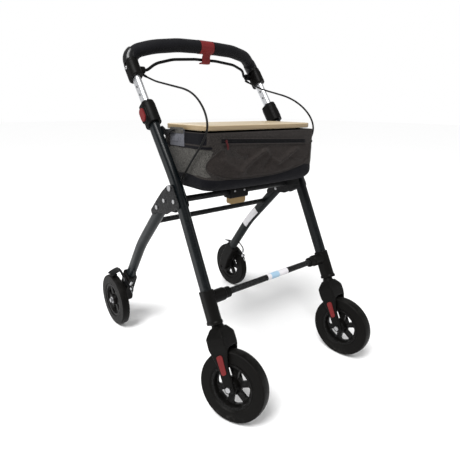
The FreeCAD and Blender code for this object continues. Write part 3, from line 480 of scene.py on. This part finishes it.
def makeCamera(s):
    turn, tilt, roll = (math.radians(s[k]) for k in ("turn", "tilt", "roll"))
    back = Vector((math.sin(turn) * math.cos(tilt), -math.cos(turn) * math.cos(tilt), math.sin(tilt)))
    right = (-back).cross(Vector((0, 0, 1))).normalized()
    up = right.cross(-back)
    tilted = right * math.cos(roll) + up * math.sin(roll)
    upright = up * math.cos(roll) - right * math.sin(roll)
    lens = bpy.data.cameras.new("camera")
    lens.lens = s["lens"]
    lens.sensor_width = 36
    camera = bpy.data.objects.new("camera", lens)
    camera.matrix_world = Matrix.Translation(s["camera"]) @ Matrix((tilted, upright, back)).transposed().to_4x4()
    scene.collection.objects.link(camera)
    scene.camera = camera


makeStudio(studio)
makeCamera(studio)
scene.view_settings.view_transform = "Standard"
print("rollator: studio ready")


# ---------- making pieces ----------

def stand(name, data):
    holder = bpy.data.objects.new(name, data)
    scene.collection.objects.link(holder)
    return holder


def wobble(x, y, z):
    return noise.noise(Vector((x, y, z)))


def addPiece(name, data, look, body, smooth=40):
    piece = stand(name, data)
    data.materials.clear()
    data.materials.append(finish[look])
    if smooth:
        smoothByAngle(data, smooth)
    if body:
        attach(piece, body)
    return piece


def meshFrom(name, bm):
    data = bpy.data.meshes.new(name)
    bmesh.ops.recalc_face_normals(bm, faces=bm.faces)
    bm.to_mesh(data)
    bm.free()
    return data


def bakeModifiers(piece):
    # the modifiers' result becomes the mesh itself
    bpy.context.view_layer.update()
    made = bpy.data.meshes.new_from_object(piece.evaluated_get(bpy.context.evaluated_depsgraph_get()))
    piece.modifiers.clear()
    piece.data = made


def sheetMesh(name, rows, closed=False, thickness=0.0, levels=0, outward=1):
    # rows of points joined into quads, thickened and rounded by subdivision
    bm = bmesh.new()
    grid = [[bm.verts.new(point) for point in row] for row in rows]
    for low, high in zip(grid, grid[1:]):
        count = len(low)
        for i in range(count if closed else count - 1):
            bm.faces.new((low[i], low[(i + 1) % count], high[(i + 1) % count], high[i]))
    data = bpy.data.meshes.new(name)
    bm.to_mesh(data)
    bm.free()
    holder = stand(name + "Holder", data)
    if thickness:
        thicken = holder.modifiers.new("thicken", "SOLIDIFY")
        thicken.thickness = thickness * mm
        thicken.offset = outward
    if levels:
        soften = holder.modifiers.new("soften", "SUBSURF")
        soften.levels = soften.render_levels = levels
    bakeModifiers(holder)
    made = holder.data
    bpy.data.objects.remove(holder)
    bm = bmesh.new()
    bm.from_mesh(made)
    bmesh.ops.recalc_face_normals(bm, faces=bm.faces)
    bm.to_mesh(made)
    bm.free()
    return made


def tubeMesh(name, points, radius, resolution=5):
    # round cord on a smooth NURBS line through control points, as a mesh
    curve = bpy.data.curves.new(name, "CURVE")
    curve.dimensions = "3D"
    curve.bevel_depth = radius * mm
    curve.bevel_resolution = 3
    curve.resolution_u = resolution
    curve.use_fill_caps = True
    line = curve.splines.new("NURBS")
    line.points.add(len(points) - 1)
    for slotPoint, point in zip(line.points, points):
        slotPoint.co = (*point, 1)
    line.order_u = 3
    line.use_endpoint_u = True
    holder = stand(name + "Line", curve)
    bpy.context.view_layer.update()
    data = bpy.data.meshes.new_from_object(holder.evaluated_get(bpy.context.evaluated_depsgraph_get()))
    bpy.data.objects.remove(holder)
    return data


def turnedMesh(name, profile, centre, axis, count=32):
    # profile of (along, radius) in millimetres, turned about an axis through centre
    axis = Vector(axis).normalized()
    turn = Vector((0, 0, 1)).rotation_difference(axis).to_matrix()
    bm = bmesh.new()
    rings = []
    for along, radius in profile:
        rings.append([bm.verts.new(centre + turn @ Vector((radius * mm * math.cos(a), radius * mm * math.sin(a),
                                                            along * mm)))
                      for a in (2 * math.pi * i / count for i in range(count))])
    for low, high in zip(rings, rings[1:]):
        for i in range(count):
            bm.faces.new((low[i], low[(i + 1) % count], high[(i + 1) % count], high[i]))
    bm.faces.new(rings[0][::-1])
    bm.faces.new(rings[-1])
    return meshFrom(name, bm)


def boltMesh(name, centre, axis, radius, height):
    # low button head with a rounded rim and a round socket recess
    r, h = radius, height
    profile = [(0, r * 0.96), (h * 0.25, r), (h * 0.6, r * 0.93), (h * 0.88, r * 0.74), (h, r * 0.5),
               (h, r * 0.44), (h * 0.35, r * 0.42)]
    return turnedMesh(name, profile, centre, axis, 24)


def mergeMeshes(name, meshes):
    bm = bmesh.new()
    for data in meshes:
        bm.from_mesh(data)
    merged = bpy.data.meshes.new(name)
    bm.to_mesh(merged)
    bm.free()
    for data in meshes:
        bpy.data.meshes.remove(data)
    return merged


def softened(node, body, voxel=1.4, rounds=5, trim=0.0):
    # the moulded piece with its edges rounded over, as it comes out of a mould
    data = frame["nodes"][node].data.copy()
    data.materials.clear()
    holder = stand(node + "Holder", data)
    weld = holder.modifiers.new("weld", "WELD")
    weld.merge_threshold = 0.00001
    remesh = holder.modifiers.new("remesh", "REMESH")
    remesh.mode = "VOXEL"
    remesh.voxel_size = voxel * mm
    smooth = holder.modifiers.new("smooth", "SMOOTH")
    smooth.factor = 0.5
    smooth.iterations = rounds
    if trim:
        shave = holder.modifiers.new("shave", "DISPLACE")
        shave.mid_level = 0.0
        shave.strength = -trim * mm
    bakeModifiers(holder)
    made = holder.data
    bpy.data.objects.remove(holder)
    piece = addPiece(node + "_moulded", made, slotFinish[nodeSlot[node]], body, 0)
    for face in made.polygons:
        face.use_smooth = True
    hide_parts(node)


for side, sign in sides:
    softened(f"caster_fork_{side}", f"caster_{side}", 1.4, 16)
    softened(f"front_casting_{side}", "front_frame", 1.3, 6)
    softened(f"height_collar_{side}", "front_frame", 0.9, 4)
    softened(f"brake_bracket_{side}", "handle", 1.2, 5)
    softened(f"rear_foot_{side}", "rear_frame", 1.3, 6)
    softened(f"height_button_{side}", f"height_button_{side}", 0.8, 6, 0.5)
softened("latch_housing", "rear_frame", 1.3, 6)
softened("release_lever", "release_lever", 1.0, 6)
softened("parking_clip", "parking_clip", 1.0, 5)
print("rollator: mouldings rounded")


# ---------- basket ----------

basket = {"top": 681.5, "bottom": 543, "half": 194.5, "front": 138.5, "rear": 342.5, "corner": 25, "taper": 3.5,
          "belly": 4.0, "tuck": 9.0, "sag": 2.5, "crease": 1.3}


def basketPoint(along, up, lift=0.0):
    # along runs round the wall from the middle of the front, positive to the left; up is the height
    b = basket
    level = (up - b["bottom"]) / (b["top"] - b["bottom"])
    inset = (1 - level) * b["taper"] + b["tuck"] * max(0.0, 1 - level / 0.16) ** 2.2
    half, front, rear, r = b["half"] - inset, b["front"] + inset, b["rear"] - inset, b["corner"]
    sign, way = (1 if along >= 0 else -1), abs(along)
    across, arc, deep = half - r, math.pi / 2 * r, rear - front - 2 * r
    if way < across:
        x, y, nx, ny = way, front, 0.0, -1.0
    elif way < across + arc:
        a = (way - across) / r
        nx, ny = math.sin(a), -math.cos(a)
        x, y = across + r * nx, front + r + r * ny
    elif way < across + arc + deep:
        x, y, nx, ny = half, front + r + way - across - arc, 1.0, 0.0
    elif way < across + 2 * arc + deep:
        a = (way - across - arc - deep) / r
        nx, ny = math.cos(a), math.sin(a)
        x, y = across + r * nx, rear - r + r * ny
    else:
        x, y, nx, ny = max(0.0, across - (way - across - 2 * arc - deep)), rear, 0.0, 1.0
    swell = math.sin(math.pi * min(1, max(0, level)) ** 0.9)
    frontness = max(0.0, -ny)
    out = b["belly"] * swell * (0.45 + 0.55 * frontness * (1 - (x / half) ** 4))
    spot = Vector((x * sign, y, up))
    folds = noise.noise(spot * 0.016) * 1.6 + noise.noise(Vector((spot.x, spot.y, up * 0.45)) * 0.05) * 0.7
    out += b["crease"] * folds * swell + lift
    x += nx * out
    y += ny * out
    droop = b["sag"] * (1 - abs(level)) ** 3 * math.cos(math.pi * min(1.0, abs(x) / half) / 2) if level < 1 else 0.0
    return at(x * sign, y, up - droop)


def sew(name, data, look):
    return addPiece(name, data, look, "front_frame")


def basketLength():
    b = basket
    bends = 2 * (math.pi / 2 * b["corner"])
    return 2 * (b["half"] - b["corner"]) + bends + (b["rear"] - b["front"] - 2 * b["corner"])


def span(first, last, count):
    return [first + (last - first) * i / (count - 1) for i in range(count)]


def makeBasketShell():
    b = basket
    total = basketLength()
    ring = [-total + 2 * total * i / 132 for i in range(132)]
    rows = [[basketPoint(s, up) for s in ring] for up in span(b["top"], b["bottom"], 26)]
    low = rows[-1]
    centre = sum(low, Vector()) / len(low)
    for share, drop in ((0.93, 1.2), (0.8, 2.6), (0.6, 4.2), (0.35, 5.6), (0.12, 6.2), (0.01, 6.3)):
        rows.append([centre + (p - centre) * share - Vector((0, 0, drop * mm)) for p in low])
    shell = sew("basketShell", sheetMesh("basketShell", rows, True, 1.8, 1, -1), "cloth")
    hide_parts("basket")


def patch(name, look, left, right, low, high, lift, columns, rowCount, thickness=1.0, levels=1):
    # panel sewn on the wall; left, right, low and high may be numbers or functions of the share along the other way
    def value(edge, share):
        return edge(share) if callable(edge) else edge
    rows = []
    for j in range(rowCount):
        v = j / (rowCount - 1)
        row = []
        for i in range(columns):
            u = i / (columns - 1)
            along = value(left, v) + (value(right, v) - value(left, v)) * u
            floor, ceiling = value(low, u), value(high, u)
            up = floor + (ceiling - floor) * v
            row.append(basketPoint(along, up, lift(u, v) if callable(lift) else lift))
        rows.append(row)
    return sew(name, sheetMesh(name, rows, False, thickness, levels, 0), look)


def curveThrough(points):
    # smooth value through the given (share, value) points
    ends = [points[0]] + list(points) + [points[-1]]
    slopes = [(after[1] - before[1]) / (after[0] - before[0]) for before, after in zip(ends, ends[2:])]

    def read(share):
        for (u0, v0), (u1, v1), m0, m1 in zip(points, points[1:], slopes, slopes[1:]):
            if share <= u1:
                w = u1 - u0
                t = (share - u0) / w
                return (v0 * (2 * t ** 3 - 3 * t * t + 1) + v1 * (3 * t * t - 2 * t ** 3)
                        + w * m0 * (t ** 3 - 2 * t * t + t) + w * m1 * (t ** 3 - t * t))
        return points[-1][1]
    return read


pocket = {"right": 168, "top": 643, "fullness": 5.0}


def pocketLift(u, v):
    # soft folds: a ridge that rises to the middle and falls again, slack gathered at the lower edge
    edge = min(1.0, u / 0.06, (1 - u) / 0.06) * min(1.0, v / 0.12, (1 - v) / 0.1)
    edge = max(0.0, edge) ** 0.6
    def ridge(u0, v0, u1, v1, width, height):
        du, dv = u1 - u0, (v1 - v0) * 0.35
        t = max(0.0, min(1.0, ((u - u0) * du + (v - v0) * 0.35 * dv) / (du * du + dv * dv)))
        away = math.hypot(u - u0 - du * t, (v - v0) * 0.35 - dv * t)
        return height * math.exp(-(away / width) ** 2)
    folds = (ridge(0.26, 0.25, 0.45, 0.86, 0.024, 7.0) + ridge(0.46, 0.86, 0.62, 0.4, 0.022, 6.4)
             + ridge(0.64, 0.42, 0.82, 0.8, 0.028, 6.0) + ridge(0.1, 0.62, 0.26, 0.25, 0.03, 4.6)
             + ridge(0.2, 0.12, 0.75, 0.1, 0.05, 4.4) - ridge(0.5, 0.25, 0.55, 0.62, 0.03, 5.0)
             - ridge(0.12, 0.85, 0.3, 0.62, 0.03, 3.4) - ridge(0.78, 0.5, 0.92, 0.2, 0.03, 4.0)
             - ridge(0.3, 0.72, 0.4, 0.5, 0.02, 3.0))
    belly = pocket["fullness"] * math.sin(math.pi * min(1, max(0, v)) ** 0.75) * math.sin(math.pi * u) ** 0.4
    fine = wobble(u * 9, v * 4, 1.7) * 0.7 + wobble(u * 24, v * 9, 5.2) * 0.35
    return 1.0 + edge * (belly + folds + fine)


pocketLow = curveThrough([(0, 582), (0.06, 575), (0.16, 570), (0.34, 567), (0.55, 568), (0.72, 573), (0.86, 581),
                          (0.95, 589), (1, 604)])
# the right-hand border swings out round the corner of the basket between its two ends
pocketLeft = curveThrough([(0, -170), (0.25, -188), (0.5, -189), (0.75, -176), (1, -153)])


def makeBasketTrim():
    b = basket
    across = b["half"] - b["corner"]
    corner = across + math.pi / 2 * b["corner"]
    patch("basketPocket", "pocketCloth", pocketLeft, pocket["right"], pocketLow, pocket["top"],
          pocketLift, 70, 30, 1.2)
    # piping round the pocket
    border = [basketPoint(pocketLeft(0) + (pocket["right"] - pocketLeft(0)) * u, pocketLow(u) - 0.8, 2.0)
              for u in span(0, 1, 28)]
    sew("pocketPiping", tubeMesh("pocketPiping", border, 1.5), "cloth")
    seams = (("pocketSeamRight", [(pocketLeft(v), 574 + 70 * v) for v in span(0.1, 1, 14)]),
             ("pocketSeamLeft", [(pocket["right"], up) for up in span(600, 645, 6)]))
    for label, line in seams:
        points = [basketPoint(along, up, 2.0) for along, up in line]
        sew(label, tubeMesh(label, points, 1.2), "cloth")
    # dark base fabric, higher towards the left front corner and along the sides
    total = basketLength()
    def baseTop(u):
        s = -total + 2 * total * u
        rise = 572 + 8 * math.exp(-((abs(s) - corner - 60) / 60) ** 2) - 5 * math.exp(-((s + 60) / 120) ** 2)
        return rise + 13 * math.exp(-((s - 150) / 45) ** 2) + 12 * max(0.0, (abs(s) - corner - 110) / 100)
    ring = span(-total, total, 140)
    rows = [[basketPoint(s, b["bottom"] - 2 + (baseTop(i / 139) - b["bottom"] + 2) * v,
                         1.5 + 5.0 * (1 - v) * v + 2.2 * (1 - v) + 0.8 * wobble(s * 0.03, v, 3))
             for i, s in enumerate(ring[:-1])] for v in span(0, 1, 7)]
    sew("basketBase", sheetMesh("basketBase", rows, True, 1.2, 1, 0), "blackCloth")
    # top binding
    rim = [basketPoint(s, b["top"] - 1.6, -0.4) for s in ring]
    sew("basketRim", tubeMesh("basketRim", rim, 1.5, 2), "blackCloth")
    for side, sign in sides:
        def stripe(name, look, near, far, low, high, lift, columns=12, rowCount=10, thickness=1.0):
            first, last = sorted((sign * near, sign * far))
            return patch(name + "_" + side, look, first, last, low, high, lift, columns, rowCount, thickness)
        edge = across + 6
        # the side panel reaches round to the pocket's border on the right
        def fullness(u, v):
            swell = 2.6 * math.sin(math.pi * v) ** 0.7 * min(1.0, 8 * u, 8 * (1 - u))
            return 0.9 + swell + wobble(u * 7 + sign, v * 3, 9) * 0.9
        ends = (across + 5, corner + 152) if sign > 0 else (-corner - 152, lambda v: pocketLeft(v) + 1.5)
        patch("sidePocket_" + side, "mesh", ends[0], ends[1], 576, 646, fullness, 34, 14)
        # painted shade: a strip of black cloth stands for the shadow inside the side pocket's opening
        stripe("pocketOpeningShade", "blackCloth", edge + 14, corner + 66, 653, 680,
               lambda u, v: 1.6 + 0.5 * wobble(u * 3, v * 2, 2))
        stripe("pocketHem", "blackCloth", across + 8, corner + 150, 643.5, 649.5, 3.0, 26, 4)
        # webbing band that hangs the basket from the board's edge, folded over at its top
        stripe("hookStrap", "webbing", corner + 61, corner + 128, 645, 688,
               lambda u, v: 3.6 + 1.0 * math.sin(math.pi * v) + wobble(u * 2, v * 3, sign) * 0.8,
               12, 14, 1.8)
        stripe("strapFold", "mesh", corner + 62, corner + 127, 676, 691,
               lambda u, v: 5.4 + 1.2 * math.sin(math.pi * v) + wobble(u * 2.4, v * 2, sign + 4) * 0.5,
               12, 6, 1.4)
        stripe("strapPatch", "webbing", corner + 84, corner + 126, 655, 674,
               lambda u, v: 5.6 + 0.6 * math.sin(math.pi * v), 8, 8, 1.2)


zipper = {"left": -153, "right": 146, "start": 662.0, "end": 650.0, "tooth": 3.0, "tape": 6.2}


def zipHeight(along, shift=0.0):
    # the zipper runs a little downhill to the left
    z = zipper
    return z["start"] + (z["end"] - z["start"]) * (along - z["left"]) / (z["right"] - z["left"]) + shift


def zipEdge(shift):
    return lambda u: zipHeight(zipper["left"] + (zipper["right"] - zipper["left"]) * u, shift)


def makeZipper():
    z = zipper
    patch("zipperTape", "blackCloth", z["left"], z["right"], zipEdge(-z["tape"]), zipEdge(z["tape"]),
          lambda u, v: 3.0 + 0.2 * wobble(u * 20, v, 4), 80, 6, 0.9)
    for label, shift in (("zipperFlapUpper", 6.6), ("zipperFlapLower", -6.6)):
        patch(label, "cloth", z["left"], z["right"], zipEdge(shift - 1.8), zipEdge(shift + 1.8),
              lambda u, v: 3.2 + 0.9 * math.sin(math.pi * v), 60, 5, 0.9)
    bm = bmesh.new()
    count = int((z["right"] - z["left"]) / z["tooth"])
    for i in range(count):
        along = z["left"] + z["tooth"] * (i + 0.5)
        for row in (-1, 1):
            here = basketPoint(along + row * z["tooth"] / 4, zipHeight(along, row * 0.8), 3.8)
            made = bmesh.ops.create_cube(bm, size=1.0, matrix=Matrix.Translation(here) @ Matrix.Diagonal(
                (0.0011, 0.0016, 0.0024, 1)))
            edges = list({e for v in made["verts"] for e in v.link_edges})
            bmesh.ops.bevel(bm, geom=edges, offset=0.0003, segments=1, affect="EDGES")
    addPiece("zipperTeeth", meshFrom("zipperTeeth", bm), "cable", "front_frame", 30)
    # slider with its hanging pull
    start = z["left"] + 14
    here = basketPoint(start, zipHeight(start), 3.4)
    slider = turnedMesh("zipperSlider", [(-0.4, 2.8), (0.2, 3.6), (1.6, 3.6), (2.4, 2.6)], here, (0, -1, 0), 20)
    rows = []
    for t in span(0, 1, 9):
        width = 2.1 + 1.3 * math.sin(math.pi * t) ** 0.5
        middle = basketPoint(start + 2 * t, zipHeight(start, -2 - 18 * t), 5.0 + 3.2 * math.sin(math.pi * t * 0.8))
        rows.append([middle + Vector((x * width * mm, -0.4 * mm * (1 - x * x), 0)) for x in span(-1, 1, 5)])
    pull = sheetMesh("zipperPull", rows, False, 1.4, 1, 0)
    sew("zipperSliderPull", mergeMeshes("zipperSliderPull", [slider, pull]), "pull")


makeBasketShell()
makeBasketTrim()
makeZipper()
print("rollator: basket sewn")


# ---------- brake cables ----------

cable = {"radius": 2.5, "start": ((189, 441, 822), (184, 396, 806)), "end": ((204.2, 232, 566),),
         "left": ((180, 345, 792), (179, 292, 781), (180, 246, 771), (184, 209, 756), (191, 178, 734),
                  (198, 157, 706), (203, 152, 677), (205.6, 166, 647), (206, 188, 618), (205.4, 211, 591)),
         "right": ((180, 345, 797), (179, 292, 788), (180, 246, 781), (183, 206, 769), (189, 169, 750),
                   (196, 137, 724), (201.5, 122, 694), (205, 137, 662), (206, 169, 630), (205.4, 202, 598)),
         "lower": ((226, 509, 222), (229, 500, 213), (234, 496, 203), (240, 499, 193), (243, 503, 185)),
         "ferrule": ((-5, 3.0), (-4.6, 3.5), (9, 3.5), (10, 3.2), (16, 2.9), (17, 2.6)),
         "stop": ((-7, 3.2), (-6, 3.9), (6, 3.9), (7, 3.4), (12, 3.0), (13, 2.6))}


def makeCables():
    c = cable
    for side, sign in sides:
        route = [at(sign * x, back, up) for x, back, up in c["start"] + c[side] + c["end"]]
        upper = addPiece(f"upperCable_{side}", tubeMesh(f"upperCable_{side}", route, c["radius"], 8), "cable", None,
                         60)
        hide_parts(f"upper_brake_cable_{side}")
        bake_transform(upper)
        # black ferrules where the sheath enters the bracket and the pivot housing
        away = (route[1] - route[0]).normalized()
        addPiece(f"cableFerrule_{side}", turnedMesh(f"cableFerrule_{side}", c["ferrule"], route[0], away, 24),
                 "plastic", "handle")
        away = (route[-2] - route[-1]).normalized()
        stop = turnedMesh(f"cableStop_{side}", c["stop"], route[-1] + away * 0.006, away, 24)
        addPiece(f"cableStop_{side}", stop, "plastic", "front_frame")
        route = [at(sign * x, back, up) for x, back, up in c["lower"]]
        lower = addPiece(f"lowerCable_{side}", tubeMesh(f"lowerCable_{side}", route, c["radius"], 8), "cable",
                         "rear_frame", 60)
        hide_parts(f"lower_brake_cable_{side}")
        down = (route[-1] - route[-2]).normalized()
        profile = [(-3, 3.0), (-2.4, 3.8)]
        for step in range(7):
            profile += [(step * 1.6 - 1.6, 3.9), (step * 1.6 - 0.8, 3.4)]
        profile += [(10, 3.9), (11, 3.6)]
        addPiece(f"cableBarrel_{side}", turnedMesh(f"cableBarrel_{side}", profile, route[-1], down, 24), "steel",
                 "rear_frame")


makeCables()
print("rollator: cables laid")


# ---------- rear brakes ----------

brake = {"plane": 244.3, "inner": 240.5, "outer": 277.0, "thickness": 3.2, "armHalf": 1.9, "clamp": (503, 163)}


def makeRearBrakes():
    b = brake
    for side, sign in sides:
        body = f"rear_brake_{side}"
        # pressed cover that arches over the tyre, higher on the leg's side
        rows = []
        for j in range(11):
            v = j / 10
            back = 583 + 39 * v
            drop = (back - 603) ** 2 / 190
            row = []
            for i in range(13):
                u = i / 12
                x = b["inner"] + (b["outer"] - b["inner"]) * u
                up = 200.5 - drop - 11.5 * u ** 1.7 - 4.0 * max(0.0, u - 0.85) * 6 * abs(v - 0.5)
                row.append(at(sign * x, back, up))
            rows.append(row)
        cover = sheetMesh(f"brakeCover_{side}", rows, False, b["thickness"], 2, 0)
        # flat arm from the cover down past the pivot to the cable clamp
        line = [(598, 199.5, 6), (588, 199, 6.5), (576, 193, 7), (565, 185, 8), (556, 178, 9), (545, 172, 8.5),
                (532, 167, 7.5), (518, 163.5, 7), (506, 161.5, 8.5), (499, 161, 7)]
        rows = []
        for (back, up, half), (nextBack, nextUp, _) in zip(line, line[1:] + [(492, 161, 0)]):
            way = Vector((0, nextBack - back, nextUp - up)).normalized()
            normal = Vector((0, -way.z, way.y))
            if normal.z < 0:
                normal.negate()
            ring = []
            for face, across in ((-1, -1), (-1, -0.5), (-1, 0.5), (-1, 1), (1, 1), (1, 0.5), (1, -0.5), (1, -1)):
                ring.append(at(sign * (b["plane"] + face * b["armHalf"]), back, up) + normal * (across * half * mm))
            rows.append(ring)
        arm = sheetMesh(f"brakeArm_{side}", rows, True, 0, 1)
        bm = bmesh.new()
        bm.from_mesh(arm)
        bmesh.ops.holes_fill(bm, edges=bm.edges, sides=0)
        arm = meshFrom(f"brakeArmClosed_{side}", bm)
        lever = addPiece(f"brakeLever_{side}", mergeMeshes(f"brakeLever_{side}", [cover, arm]), "powder", body,
                         45)
        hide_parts(f"rear_brake_{side}")
        pad = []
        for j in range(7):
            back = 590 + 26 * j / 6
            up = 90 + math.sqrt(95.6 ** 2 - (back - 603) ** 2)
            pad.append([at(sign * x, back, up) for x in span(254, 273.5, 5)])
        addPiece(f"brakePad_{side}", sheetMesh(f"brakePad_{side}", pad, False, 2.6, 1, 0), "tyre", body)
        clamp = at(sign * (b["plane"] + 2.2), *b["clamp"])
        out = Vector((sign, 0, 0))
        addPiece(f"cableClamp_{side}", boltMesh(f"cableClamp_{side}", clamp, out, 5.2, 4.0), "steel", body)
        nut = turnedMesh(f"clampNut_{side}", [(0, 5.4), (0.4, 5.8), (3.2, 5.8), (3.6, 5.4)],
                         at(sign * (b["plane"] - 2.2), *b["clamp"]), -out, 6)
        addPiece(f"clampNut_{side}", nut, "steel", body)
        # inner wire from the clamp, its cut end splayed
        for strand in range(5):
            bend = noise.noise_vector(Vector((strand * 1.7, sign, 0.3)))
            points = [at(sign * 243, 503, 171.5), at(sign * 244.5, 503, 163), at(sign * 245, 502, 152)]
            tip = at(sign * 246, 486, 139) if sign < 0 else at(sign * 246, 494, 141)
            points.append(points[-1].lerp(tip, 0.55) + bend * 0.0022)
            points.append(tip + bend * 0.0055)
            addPiece(f"brakeWire_{side}_{strand}", tubeMesh(f"brakeWire_{side}_{strand}", points, 0.42, 5), "silver",
                     body)


makeRearBrakes()
print("rollator: rear brakes made")


# ---------- handle fittings, bolts and blank labels ----------

handle = {"corner": (222, 465, 878), "inward": (165, 426.6, 894.6), "bend": 32.0, "lean": 35.94,
          "foamEnds": (18.2, -30.2), "sleeveRadius": 18.3}


def makeHandleFittings():
    h = handle
    for side, sign in sides:
        addPiece(f"bracketBolt_{side}", boltMesh(f"bracketBolt_{side}", at(sign * 240.2, 438, 838),
                                                 Vector((sign, 0, 0)), 5.0, 3.2), "steel", "handle")
        # glossy sleeve moulded over the lower bend
        upright = Vector((0, math.sin(math.radians(h["lean"])), math.cos(math.radians(h["lean"]))))
        corner = at(sign * h["corner"][0], *h["corner"][1:])
        inward = (at(sign * h["inward"][0], *h["inward"][1:]) - corner).normalized()
        rows = []
        turn = h["bend"]
        for k in range(12):
            t = k / 11
            if t < 0.25:
                here = corner - upright * ((36 - 14 * t) * mm)
                way = upright
            else:
                a = (t - 0.25) / 0.75 * math.radians(62)
                start = corner - upright * (turn * mm)
                middle = start + inward * (turn * mm)
                here = middle - inward * (turn * mm * math.cos(a)) + upright * (turn * mm * math.sin(a))
                way = (inward * math.sin(a) + upright * math.cos(a)).normalized()
            sideways = way.cross(Vector((0, 1, 0.2))).normalized()
            forward = sideways.cross(way)
            swell = h["sleeveRadius"] + 1.0 * math.sin(math.pi * t) ** 0.7 if t < 0.97 else 18.1
            ring = []
            for n in range(28):
                a = 2 * math.pi * n / 28
                squash = 1.0 + 0.04 * math.cos(2 * a)
                ring.append(here + (sideways * math.cos(a) + forward * math.sin(a)) * (swell * squash * mm))
            rows.append(ring)
        addPiece(f"bendSleeve_{side}", sheetMesh(f"bendSleeve_{side}", rows, True, 1.0, 1, -1), "gloss", "handle",
                 60)
        # ring at the end of the foam next to the clip
        near = h["foamEnds"][0 if sign > 0 else 1]
        ring = turnedMesh(f"foamRing_{side}", [(-0.8, 16.5), (-0.6, 18.6), (0.6, 18.6), (0.8, 16.5)],
                          at(near + sign * 0.3, 405, 904), (1, 0, 0), 40)
        addPiece(f"foamRing_{side}", ring, "plastic", "handle")


labels = {"bar": (("barLabel", "paper", -22, 58, 0.15), ("barLabelBand", "paleBlue", -8, 22, 0.25)),
          "leg": {"x": 224.0, "radius": 12.8, "flat": 4.4, "half": 12.5,
                  "line": ((400, 382.4), (417, 365), (434, 348), (447, 333.5), (456, 322), (464, 311.5))}}
screws = (("gussetScrew_left", (207.9, 302, 477.5), (-1, 0, 0), 5.0),
          ("gussetScrew_right", (-207.9, 302, 477.5), (1, 0, 0), 5.0),
          ("latchScrew_right", (-18, 245.6, 507), (0, -1, 0), 3.4),
          ("latchScrew_left", (18, 245.6, 507), (0, -1, 0), 3.4))


def makeLabels():
    # blank film round the front crossbar: white, with a pale band
    low, high = (Vector(corner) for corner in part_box("front_crossbar"))
    centre, radius = (low + high) / 2, (high.z - low.z) / 2 / mm
    for name, look, start, end, lift in labels["bar"]:
        rows = [[Vector((x * mm, centre.y, centre.z)) + Vector((0, math.cos(a), math.sin(a))) * ((radius + lift) * mm)
                 for a in (math.radians(60 + 240 * i / 24) for i in range(25))] for x in span(start, end, 9)]
        addPiece(name, sheetMesh(name, rows, False, 0.2, 0, 1), look, "front_frame", 60)
    # blank label on the inner face of the left leg
    leg = labels["leg"]
    rows = []
    for here, ahead in zip(leg["line"], leg["line"][1:] + (None,)):
        if ahead:
            way = Vector((0, ahead[0] - here[0], ahead[1] - here[1])).normalized()
        across = Vector((0, -way.z, way.y))
        rows.append([])
        for n in span(-leg["half"], leg["half"], 13):
            side = math.sqrt((leg["radius"] + 0.25) ** 2 - max(0.0, abs(n) - leg["flat"]) ** 2)
            rows[-1].append(at(leg["x"] - side, *here) + across * (n * mm))
    addPiece("legLabel", sheetMesh("legLabel", rows, False, 0.2, 0, 1), "paper", "rear_frame", 60)
    for name, place, facing, radius in screws:
        addPiece(name, boltMesh(name, at(*place), Vector(facing), radius, 2.0), "steel", "rear_frame")


makeHandleFittings()
makeLabels()
print("rollator: fittings and labels made")
